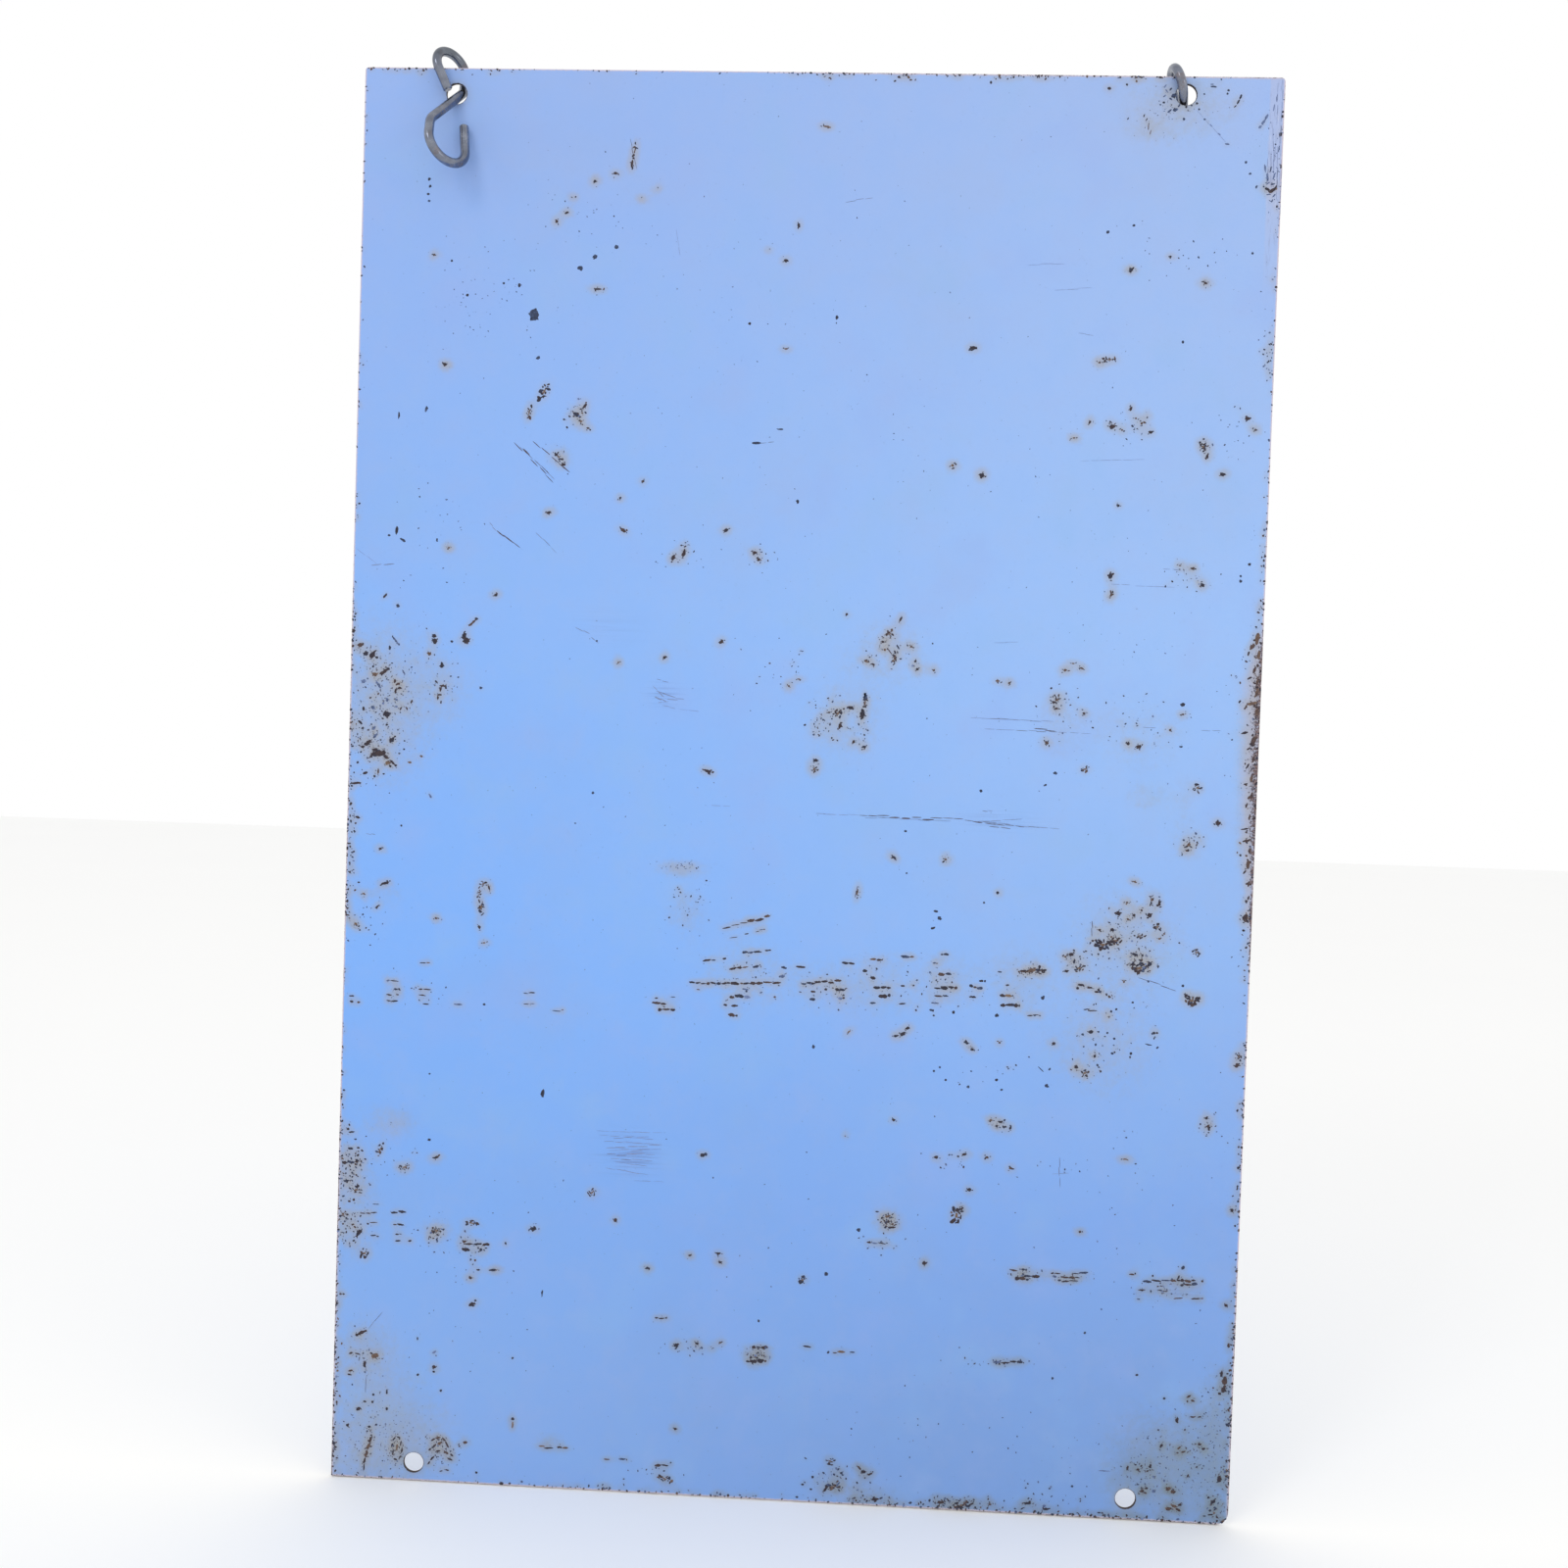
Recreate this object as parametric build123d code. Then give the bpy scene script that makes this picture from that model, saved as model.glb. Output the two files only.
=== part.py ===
from build123d import *
import os
from math import acos, atan2, degrees, hypot

# A flat painted steel sign blank: one sheared sheet with a hand-punched hole near each
# corner, and two bent-wire S-hooks that hang in the upper holes.
# The origin is the middle of the sheet's bottom edge, at mid-thickness. X runs to the
# right along that edge, Z runs up the sheet, and the painted front faces -Y.
# All sizes are in millimetres and all angles in degrees.

# The sheet
sheet_width = 355.6
sheet_height = 558.8
sheet_thickness = 1.2
edge_rollover = 0.3

# Corner radii: the sheared corners are nearly sharp, and one has been knocked round
top_left_corner_radius = 1.4
top_right_corner_radius = 1.6
bottom_left_corner_radius = 0.6
bottom_right_corner_radius = 4.6

# The holes: in from the nearer side edge, and from the nearer top or bottom edge
hole_diameter = 7.94
top_left_hole_inset = 36.5
top_left_hole_drop = 10.0
top_right_hole_inset = 37.2
top_right_hole_drop = 7.0
bottom_left_hole_inset = 33.4
bottom_left_hole_rise = 7.2
bottom_right_hole_inset = 40.0
bottom_right_hole_rise = 8.2

# The hook wire, and its runs and bends in order from the tip of the eye to the tip of
# the open bowl. The eye is squeezed round the sheet's edge until only its mouth is left
# open, between the tip and the spine.
wire_diameter = 3.6
wire_end_chamfer = 0.4
eye_tip_run = 9.0
eye_radius = 6.7
eye_mouth = 3.03
spine_run = 6.4
knee_radius = 5.6
knee_bend = 29
cross_run = 22.0
shoulder_radius = 7.2
shoulder_bend = 31
side_run = 4.0
bowl_radius = 8.3
bowl_bend = 188
bowl_tip_run = 11.5
spine_heading = -102

# How each hook hangs: turned about Z, leaned about X and rolled about Y, with the
# middle of its knee set off from the middle of its hole
left_hook_turn = 51.0
left_hook_lean = -16.3
left_hook_roll = 5.7
left_knee_offset = (1.74, 1.78, 1.28)
right_hook_turn = -89.0
right_hook_lean = 17.3
right_hook_roll = 40.0
right_knee_offset = (0.06, 5.6, -4.9)
seat_clearance = 0.2

# How finely the wire's centreline is tried against the sheet, and for how many steps
centreline_samples = 160
settling_steps = 400

half_width = sheet_width / 2
half_thickness = sheet_thickness / 2
hole_radius = hole_diameter / 2
wire_radius = wire_diameter / 2

# The eye's bend is the half turn and the closing that brings its tip to the mouth
tip_to_spine = eye_mouth + wire_diameter
tip_reach = hypot(eye_radius, eye_tip_run)
eye_closing = acos((tip_to_spine - eye_radius) / tip_reach) - atan2(eye_tip_run, eye_radius)
eye_bend = 180 + degrees(eye_closing)

top_left_hole = (top_left_hole_inset - half_width, sheet_height - top_left_hole_drop)
top_right_hole = (half_width - top_right_hole_inset, sheet_height - top_right_hole_drop)
bottom_left_hole = (bottom_left_hole_inset - half_width, bottom_left_hole_rise)
bottom_right_hole = (half_width - bottom_right_hole_inset, bottom_right_hole_rise)


def make_sheet():
    """The sheared sheet, its rolled front edges and its four punched holes."""
    outline = Rectangle(sheet_width, sheet_height, align=(Align.CENTER, Align.MIN))
    corners = (
        (-half_width, 0, bottom_left_corner_radius),
        (-half_width, sheet_height, top_left_corner_radius),
        (half_width, 0, bottom_right_corner_radius),
        (half_width, sheet_height, top_right_corner_radius),
    )
    for x, z, radius in corners:
        sharp = outline.vertices().sort_by_distance((x, z))[0]
        outline = fillet(sharp, radius)
    blank = extrude(Plane.XZ * outline, half_thickness, both=True)
    for x, z in (top_left_hole, top_right_hole, bottom_left_hole, bottom_right_hole):
        punch = Cylinder(hole_radius, sheet_thickness, rotation=(90, 0, 0))
        blank -= Pos(x, 0, z) * punch
    front = blank.faces().sort_by(Axis.Y)[0]
    return fillet(front.outer_wire().edges(), edge_rollover)


def straight(before, length):
    """A straight run of wire that carries on from the end of the piece before it."""
    return Line(before @ 1, before @ 1 + (before % 1) * length)


def bent(before, radius, angle):
    """A bend that carries on from the end of the piece before it, left turns positive."""
    return JernArc(before @ 1, before % 1, radius, angle)


def hook_path():
    """The bent wire's centreline in the XZ plane, with the middle of its knee at 0."""
    with BuildLine() as path:
        eye_tip = PolarLine((0, 0), eye_tip_run, spine_heading + eye_bend)
        eye = bent(eye_tip, eye_radius, -eye_bend)
        spine = straight(eye, spine_run)
        knee = bent(spine, knee_radius, -knee_bend)
        cross = straight(knee, cross_run)
        shoulder = bent(cross, shoulder_radius, shoulder_bend)
        side = straight(shoulder, side_run)
        bowl = bent(side, bowl_radius, bowl_bend)
        straight(bowl, bowl_tip_run)
    return Plane.XZ * Pos(*(-(knee @ 0.5))) * path.wire()


def sheet_clearance(point, hole):
    """How far a point lies from the sheet round one hole, and the way out from there."""
    over_edge = point.Z - sheet_height
    from_hole = hypot(point.X - hole[0], point.Z - hole[1])
    in_hole = hole_radius - from_hole
    outside = abs(point.Y) - half_thickness
    out_of_face = Vector(0, 1 if point.Y > 0 else -1, 0)
    if max(over_edge, in_hole) <= 0:
        return outside, out_of_face
    way = Vector(0, 0, 1)
    if in_hole > over_edge:
        way = Vector(hole[0] - point.X, 0, hole[1] - point.Z).normalized()
    beside = way * max(over_edge, in_hole) + out_of_face * max(outside, 0)
    return beside.length, beside.normalized()


def ease_clear(points, hole):
    """The small shift that lets a hung wire rest against the sheet without touching."""
    shift = Vector(0, 0, 0)
    wanted = wire_radius + seat_clearance
    for _ in range(settling_steps):
        tried = [sheet_clearance(point + shift, hole) for point in points]
        nearest, way = min(tried, key=lambda found: found[0])
        if nearest >= wanted:
            break
        shift += way * (wanted - nearest) * 0.5
    return shift


def make_hook(hole, turn, lean, roll, knee_offset):
    """One S-hook, swept along its centreline and hung in its hole."""
    hung = Pos(hole[0], 0, hole[1]) * Pos(*knee_offset)
    path = hung * Rot(0, 0, turn) * Rot(lean, 0, 0) * Rot(0, roll, 0) * hook_path()
    steps = range(centreline_samples + 1)
    points = [path.position_at(step / centreline_samples) for step in steps]
    path = Pos(*ease_clear(points, hole)) * path
    section = Plane(path @ 0, z_dir=path % 0) * Circle(wire_radius)
    wire = sweep(section, path=path)
    cut_ends = wire.faces().filter_by(GeomType.PLANE)
    return chamfer(cut_ends.edges(), wire_end_chamfer)


sign_plate = make_sheet()
left_hook = make_hook(
    top_left_hole, left_hook_turn, left_hook_lean, left_hook_roll, left_knee_offset
)
right_hook = make_hook(
    top_right_hole, right_hook_turn, right_hook_lean, right_hook_roll, right_knee_offset
)

os.makedirs("parts", exist_ok=True)
export_step(sign_plate, "parts/sign_plate.step")
export_step(left_hook, "parts/left_hook.step")
export_step(right_hook, "parts/right_hook.step")
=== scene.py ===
# %% [markdown]
# # A weathered sheet-metal sign
# The object is one flat sheet of painted steel, taller than it is wide, with a hand-punched
# hole near each corner. Two bent-wire S-hooks hang in the upper holes. The paint is light
# blue and satin, and years outdoors have chipped, scratched and rusted it.
# The lesson follows the order in which a painter of props would work: camera, a written list
# of the wear, sheet, paint, rust, wire, and last the studio round it.

import math
import random

import bmesh
import bpy
import numpy as np
from mathutils import Matrix, Vector
from mathutils.geometry import delaunay_2d_cdt


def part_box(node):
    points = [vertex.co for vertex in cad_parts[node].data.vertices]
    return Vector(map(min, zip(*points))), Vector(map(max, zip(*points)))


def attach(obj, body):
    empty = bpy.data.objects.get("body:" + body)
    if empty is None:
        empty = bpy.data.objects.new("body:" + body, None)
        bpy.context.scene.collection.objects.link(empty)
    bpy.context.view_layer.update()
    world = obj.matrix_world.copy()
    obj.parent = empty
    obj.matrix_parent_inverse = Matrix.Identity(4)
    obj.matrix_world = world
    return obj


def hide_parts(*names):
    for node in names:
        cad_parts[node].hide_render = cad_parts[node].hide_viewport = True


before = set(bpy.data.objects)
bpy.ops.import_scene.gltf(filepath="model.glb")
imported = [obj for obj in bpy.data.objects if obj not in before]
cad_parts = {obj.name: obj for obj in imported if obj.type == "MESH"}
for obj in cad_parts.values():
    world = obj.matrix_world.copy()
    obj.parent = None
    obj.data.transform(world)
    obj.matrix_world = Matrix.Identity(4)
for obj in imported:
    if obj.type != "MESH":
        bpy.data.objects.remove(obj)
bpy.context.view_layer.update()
_, sheet_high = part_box("sign_plate")
half_width, half_thickness, sheet_height = sheet_high.x, sheet_high.y, sheet_high.z
MM = 0.001
sides = [half_width * 2, half_thickness * 2, sheet_height]
print("sheet, in millimetres:", [round(side / MM, 1) for side in sides])

# %% [markdown]
# ## The camera, and how a mark in the photo finds its place
# A flat sheet is a gift: once the camera stands where the photographer stood, every pixel of
# the picture is a sight line that meets the sheet at one point. The camera's place and aim
# were worked out from the sheet's four corners. The same numbers then turn any mark's pixel
# place into metres on the sheet, so all the wear below is written as it is seen.

# %% Place the camera
photo_side = 1600
focal_pixels = 1600
eye = Vector((0.02465, -0.61280, 0.29991))
ahead = Vector((-0.04803, 0.99848, -0.02686)).normalized()
upward = Vector((-0.03330, 0.02528, 0.99913)).normalized()
rightward = ahead.cross(upward)


def add_object(name, data):
    """A new object in the scene."""
    made = bpy.data.objects.new(name, data)
    bpy.context.scene.collection.objects.link(made)
    return made


camera_data = bpy.data.cameras.new("studio_camera")
camera_data.sensor_width = 36
camera_data.lens = camera_data.sensor_width * focal_pixels / photo_side
camera = add_object("studio_camera", camera_data)
aim = Matrix((rightward, upward, -ahead)).transposed()
camera.matrix_world = Matrix.Translation(eye) @ aim.to_4x4()
bpy.context.scene.camera = camera
print("camera of", camera_data.lens, "mm, from", [round(side, 3) for side in eye])

# %% Where a photo pixel lies on the sheet
front_face = -half_thickness
pixel = -eye.y / focal_pixels


def on_sheet(across, down):
    """The point of the painted face, as (x, z), that one photo pixel shows."""
    aside = (across - photo_side / 2) / focal_pixels
    below = (down - photo_side / 2) / focal_pixels
    line = ahead + rightward * aside - upward * below
    reach = (front_face - eye.y) / line.y
    return eye.x + line.x * reach, eye.z + line.z * reach


print(f"one photo pixel is about {pixel / MM:.2f} mm on the sheet")
print("middle of the photo, in mm:", [round(side / MM, 1) for side in on_sheet(800, 800)])

# %% [markdown]
# ## The wear, written down as it is seen
# Each kind of mark has its own short list, in photo pixels. A chip is a spot where the paint
# has come off and the steel has rusted: where it is, how long and wide, and how far its long
# side is turned up from level. A nick is a chip too young or too greasy to have a rusty
# ring. Writing these down takes an hour, and it is what makes the result this very sheet
# and not just any rusty sheet.

# %% Rust chips in the upper half: across, down, long, wide, turn
upper_chips = [
    (555, 400, 19, 7, 62), (540, 421, 14, 5, 76), (648, 153, 15, 3, 80), (645, 167, 12, 4, 84),
    (588, 423, 9, 6, -30), (597, 414, 8, 5, 60), (600, 437, 7, 4, 0), (593, 430, 6, 4, 20),
    (570, 466, 11, 6, -50), (575, 474, 7, 4, 10), (560, 523, 8, 4, 20), (610, 295, 12, 3, 0),
    (454, 372, 6, 5, 0), (443, 260, 6, 4, 40), (656, 491, 5, 4, 0), (633, 508, 4, 4, 0),
    (636, 541, 10, 5, -35), (628, 177, 6, 4, 0), (607, 185, 5, 4, 40), (568, 226, 5, 5, 0),
    (578, 217, 6, 3, 20), (585, 201, 5, 3, -20), (655, 203, 5, 3, 0), (671, 193, 5, 3, 30),
    (784, 255, 5, 3, 0), (802, 266, 6, 5, 0), (815, 230, 7, 4, 90), (802, 356, 9, 3, 0),
    (843, 129, 12, 4, 0), (687, 569, 9, 5, 60), (698, 564, 12, 4, 80), (770, 564, 7, 5, 0),
    (774, 571, 5, 5, 0), (741, 541, 7, 5, 20), (736, 655, 8, 5, 45), (678, 671, 6, 4, 60),
    (993, 355, 10, 5, 10), (1132, 367, 16, 5, 5), (1122, 370, 6, 4, 0), (1154, 276, 7, 5, 60),
    (1194, 262, 5, 3, 0), (1230, 289, 8, 5, 0), (1135, 435, 9, 5, 0), (1145, 439, 5, 4, 0),
    (1165, 432, 6, 6, 0), (1174, 441, 6, 5, 0), (1154, 417, 7, 4, 70), (1159, 427, 5, 4, 0),
    (1170, 425, 5, 3, 60), (1228, 456, 9, 9, 0), (1232, 466, 6, 4, 80), (1273, 427, 8, 5, 0),
    (1281, 439, 5, 4, 0), (1248, 484, 8, 5, 0), (1002, 485, 7, 7, 0), (972, 475, 7, 6, 0),
    (1141, 516, 5, 4, 0), (1096, 447, 6, 3, 0), (1112, 431, 6, 3, 60), (1133, 588, 9, 6, 90),
    (1134, 607, 9, 5, 60), (1217, 580, 6, 4, 0), (1227, 597, 6, 5, 0), (1204, 577, 6, 3, 0),
    (908, 647, 9, 7, 60), (919, 632, 8, 3, 65), (903, 663, 6, 5, 0), (913, 671, 24, 4, 72),
    (884, 675, 9, 4, -20), (891, 678, 6, 3, -10), (930, 660, 6, 4, 0), (953, 684, 5, 5, 0),
    (936, 683, 5, 4, 0), (864, 627, 4, 4, 0), (901, 655, 5, 4, 0), (934, 675, 4, 4, 0),
    (855, 728, 9, 8, 60), (868, 722, 8, 5, 0), (857, 741, 8, 5, 80), (846, 727, 5, 4, 0),
    (883, 717, 14, 4, 88), (880, 731, 9, 5, 80), (831, 785, 8, 7, 60), (832, 776, 7, 5, 0),
    (871, 757, 6, 4, 60), (882, 762, 6, 4, 0), (1018, 695, 9, 4, 0), (1030, 697, 5, 4, 60),
    (1087, 684, 8, 5, 20), (1104, 682, 8, 4, -20), (1095, 677, 7, 3, 0), (1079, 714, 9, 7, 60),
    (1078, 723, 7, 5, 0), (1106, 728, 6, 5, 0), (1068, 758, 9, 6, -30), (1107, 785, 9, 7, 20),
    (1162, 762, 8, 6, 30), (1151, 759, 5, 5, 0), (1207, 729, 6, 4, 0), (1194, 745, 4, 4, 0),
    (1222, 804, 9, 8, 0), (1243, 840, 8, 6, 0), (1213, 862, 8, 6, 60), (1211, 868, 6, 4, 0),
    (912, 875, 8, 4, -35), (965, 877, 6, 6, 0), (1019, 911, 4, 4, 0), (875, 910, 14, 3, 80),
]
print(len(upper_chips), "chips in the upper half")

# %% Rust chips at the left, from the middle down
left_chips = [
    (388, 866, 5, 4, 0), (458, 559, 6, 4, 0), (506, 607, 6, 4, 30), (493, 902, 10, 6, 30),
    (489, 912, 14, 4, 85), (491, 926, 14, 6, -82), (499, 906, 7, 3, -70), (489, 946, 7, 4, -65),
    (494, 962, 6, 3, 10), (393, 901, 12, 4, 15), (385, 925, 8, 3, 40), (371, 912, 5, 4, 0),
    (363, 943, 8, 5, -40), (445, 937, 5, 4, 0), (356, 938, 5, 3, 0), (722, 787, 12, 4, -18),
    (631, 676, 4, 5, 0), (815, 693, 7, 3, 0), (805, 700, 5, 4, 90), (388, 1173, 14, 5, 70),
    (413, 1191, 12, 6, 15), (445, 1181, 8, 4, 20), (364, 1214, 10, 7, -10), (350, 1239, 9, 7, 0),
    (366, 1258, 11, 5, 60), (372, 1279, 9, 9, 0), (362, 1252, 7, 4, -40), (481, 1248, 16, 5, 0),
    (474, 1267, 9, 5, 30), (445, 1256, 10, 8, -20), (544, 1254, 11, 5, 0), (604, 1217, 9, 7, 40),
    (628, 1245, 5, 6, 0), (717, 1178, 7, 4, 0), (480, 1304, 6, 4, 0), (506, 1296, 7, 3, 10),
    (733, 1279, 8, 4, 10), (735, 1288, 6, 4, 0), (704, 1281, 5, 3, 0), (819, 1306, 8, 7, 0),
    (661, 1294, 6, 4, 0), (678, 1509, 15, 6, -20), (690, 1373, 7, 6, 30), (711, 1371, 6, 3, -30),
    (735, 1370, 6, 3, 0), (726, 1376, 5, 3, 0), (689, 1458, 5, 4, 0),
]
print(len(left_chips), "chips at the left")

# %% Rust chips at the lower right
right_chips = [
    (1125, 964, 15, 10, 0), (1139, 960, 10, 8, 0), (1115, 960, 6, 5, 0), (1163, 955, 12, 5, 0),
    (1181, 946, 8, 8, 0), (1188, 953, 5, 4, 0), (1173, 934, 7, 6, 0), (1165, 929, 5, 5, 0),
    (1141, 932, 7, 7, 0), (1151, 938, 5, 5, 0), (1157, 934, 5, 5, 0), (1122, 949, 5, 4, 0),
    (1135, 949, 6, 5, 0), (1134, 956, 5, 4, 0), (1163, 988, 14, 9, 20), (1173, 984, 8, 5, 50),
    (1156, 984, 7, 5, 0), (1158, 974, 9, 4, -10), (1101, 988, 11, 7, 20), (1093, 974, 8, 5, 0),
    (1087, 976, 6, 4, 0), (1096, 981, 6, 3, 60), (1060, 990, 14, 6, -20), (1088, 991, 6, 4, 0),
    (1049, 992, 20, 3, 0), (1183, 958, 5, 4, 0), (1175, 918, 5, 13, 0), (1183, 921, 4, 12, 0),
    (1158, 900, 9, 3, -20), (1150, 921, 5, 4, 0), (1221, 972, 8, 7, 0), (1216, 1021, 12, 10, 0),
    (1223, 1019, 6, 5, 0), (1210, 1016, 6, 4, 60), (1147, 1002, 5, 5, 0), (1132, 1017, 5, 7, 60),
    (1103, 1005, 9, 3, 0), (1112, 1008, 8, 3, 0), (1121, 1010, 4, 4, 0), (1131, 1036, 4, 4, 0),
    (1107, 1095, 9, 7, 0), (1098, 1089, 5, 5, 0), (1075, 1065, 5, 5, 0), (1113, 1053, 6, 5, 0),
    (986, 1064, 7, 4, -30), (992, 1071, 5, 4, 0), (1020, 1064, 5, 5, 0), (1117, 1078, 4, 4, 0),
    (921, 1055, 9, 5, 30), (926, 1049, 7, 4, 20), (914, 1057, 6, 4, 0), (866, 1053, 8, 3, 40),
    (1011, 1143, 6, 4, 0), (1021, 1145, 5, 4, 0), (1031, 1151, 5, 4, 60), (1017, 1149, 4, 4, 0),
    (976, 1240, 17, 11, 84), (981, 1234, 6, 5, 0), (906, 1241, 12, 4, 20), (905, 1247, 12, 4, 0),
    (989, 1214, 7, 5, 0), (1007, 1181, 7, 5, 0), (1031, 1192, 7, 5, 10), (1148, 1183, 10, 3, 0),
    (984, 1178, 7, 4, 20), (955, 1181, 6, 4, 0), (943, 1289, 6, 5, 60), (1102, 1257, 5, 3, 0),
    (912, 1143, 6, 4, 0), (863, 1158, 4, 4, 0), (847, 1491, 9, 7, 0), (850, 1517, 16, 6, 5),
    (842, 1520, 8, 4, 50), (881, 1502, 7, 5, 0), (888, 1504, 8, 3, 30), (893, 1530, 12, 4, 10),
    (877, 1498, 7, 3, -50), (982, 1536, 18, 6, 5), (960, 1533, 9, 5, 0), (1264, 1078, 9, 7, 80),
    (1262, 1087, 7, 5, 60), (1273, 937, 9, 7, 60), (1257, 1235, 6, 5, 90), (1251, 1332, 5, 5, 0),
    (1233, 1149, 8, 5, 70), (1231, 1141, 5, 4, 0), (1048, 1534, 12, 4, 0), (1067, 1540, 9, 4, 0),
    (1010, 1535, 8, 4, 0),
]
print(len(right_chips), "chips at the lower right")

# %% Dark nicks without a rusty ring: across, down, long, wide, turn
dark_nicks = [
    (545, 322, 12, 15, -10), (592, 274, 7, 6, 0), (607, 262, 6, 6, 0), (629, 252, 5, 5, 0),
    (549, 365, 6, 4, 30), (530, 291, 4, 5, 0), (477, 301, 4, 4, 0), (514, 289, 3, 3, 0),
    (438, 183, 4, 4, 0), (439, 190, 4, 4, 0), (437, 198, 4, 3, 0), (438, 205, 4, 3, 0),
    (461, 266, 3, 3, 0), (435, 417, 3, 9, 0), (407, 424, 3, 9, 0), (405, 541, 3, 12, 0),
    (411, 551, 8, 3, -35), (397, 546, 4, 3, 0), (446, 551, 3, 5, 0), (854, 324, 4, 5, 0),
    (765, 330, 4, 4, 0), (772, 452, 12, 3, 0), (796, 438, 9, 2, 0), (814, 512, 4, 5, 0),
    (1130, 237, 3, 3, 0), (1157, 230, 4, 3, 0), (1121, 1053, 3, 3, 0), (1207, 349, 4, 4, 0),
    (876, 1255, 5, 5, 0), (843, 1300, 5, 5, 0), (720, 1178, 5, 4, 0), (717, 1179, 5, 5, 0),
    (820, 1303, 5, 4, 0), (817, 1308, 6, 5, 0), (438, 1163, 4, 4, 0), (364, 1184, 4, 4, 0),
    (1025, 1143, 3, 3, 0), (1068, 1108, 5, 5, 0), (988, 1109, 4, 4, 0), (1017, 1102, 4, 4, 0),
    (1001, 1001, 6, 3, 0), (991, 1006, 5, 4, 0), (959, 937, 5, 6, 30), (952, 947, 6, 3, 20),
    (953, 1093, 3.4, 3, 0), (959, 1089, 3, 3, 0), (965, 1102, 3.4, 3, 0), (991, 1093, 3, 2, 0),
    (1022, 1112, 3.6, 3, 0), (1071, 1091, 4, 3, 70), (1062, 1091, 10, 1.3, -42),
    (1120, 1087, 3, 3, 0), (1135, 1075, 4, 3.4, 0), (1154, 1075, 3.4, 3.4, 0),
    (1153, 1078.6, 2.6, 2.6, 0), (1137, 1060, 3, 3, 0), (1118, 1066, 3, 3, 0),
    (1130, 1054, 3, 3, 0), (1109, 1030, 9, 1.6, 5), (1134, 1032, 3, 3, 0), (1139, 1030, 3, 3, 0),
    (1156, 1023, 3.4, 3, 0), (1172, 1066, 9, 1.6, -10), (1178, 1059, 5, 1.6, 70),
    (1181, 1069, 4, 2.4, 30), (1063, 1018, 3, 3, 0), (1056, 1036, 4, 3, 20),
    (1034, 1025, 7, 2.4, -20), (1004, 921, 2.6, 2.6, 0), (925, 891, 2.6, 2.6, 0),
    (955, 930, 6, 3, 0), (1017, 1036, 5, 5, 0), (973, 1033, 4, 4, 0), (951, 1031, 6, 3, -10),
    (494, 1025, 4, 3, 0), (1005, 1001, 3, 3, 0), (1064, 1018, 5, 4, 40), (830, 1068, 4, 6, 0),
    (1207, 719, 6, 5, 0), (1266, 593, 4, 4, 0), (1266, 588, 3, 3, 0), (1275, 576, 4, 4, 0),
    (880, 727, 5, 9, 0), (883, 711, 5, 12, 0), (1207, 1006, 4, 4, 0), (1205, 762, 5, 3, 0),
    (924, 848, 4, 3, 0), (1001, 807, 4, 4, 0), (1067, 801, 3, 3, 0), (1077, 789, 5, 4, 0),
    (1018, 911, 4, 4, 0), (609, 654, 3, 3, 0), (605, 809, 4, 4, 30), (587, 840, 3, 2, 0),
    (553, 1320, 3, 9, 0), (554, 1116, 3, 11, -8), (774, 1348, 3, 4, 0), (845, 1380, 4, 3, 60),
]
print(len(dark_nicks), "dark nicks")

# %% [markdown]
# ## The busiest places, mark by mark
# Where the eye goes first, a chip made by chance shows beside the photo. There each spot of
# rust is written for itself: its place, length, width and turn as before, then its shade,
# from 0 for warm brown to 1 for slate, and the strength of the stain round it. A hooked or
# forked spot is two or three short ones that touch. The last of the five lists is the crust
# halfway down the right edge, where rust has lifted the paint from the cut edge inwards.

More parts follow.
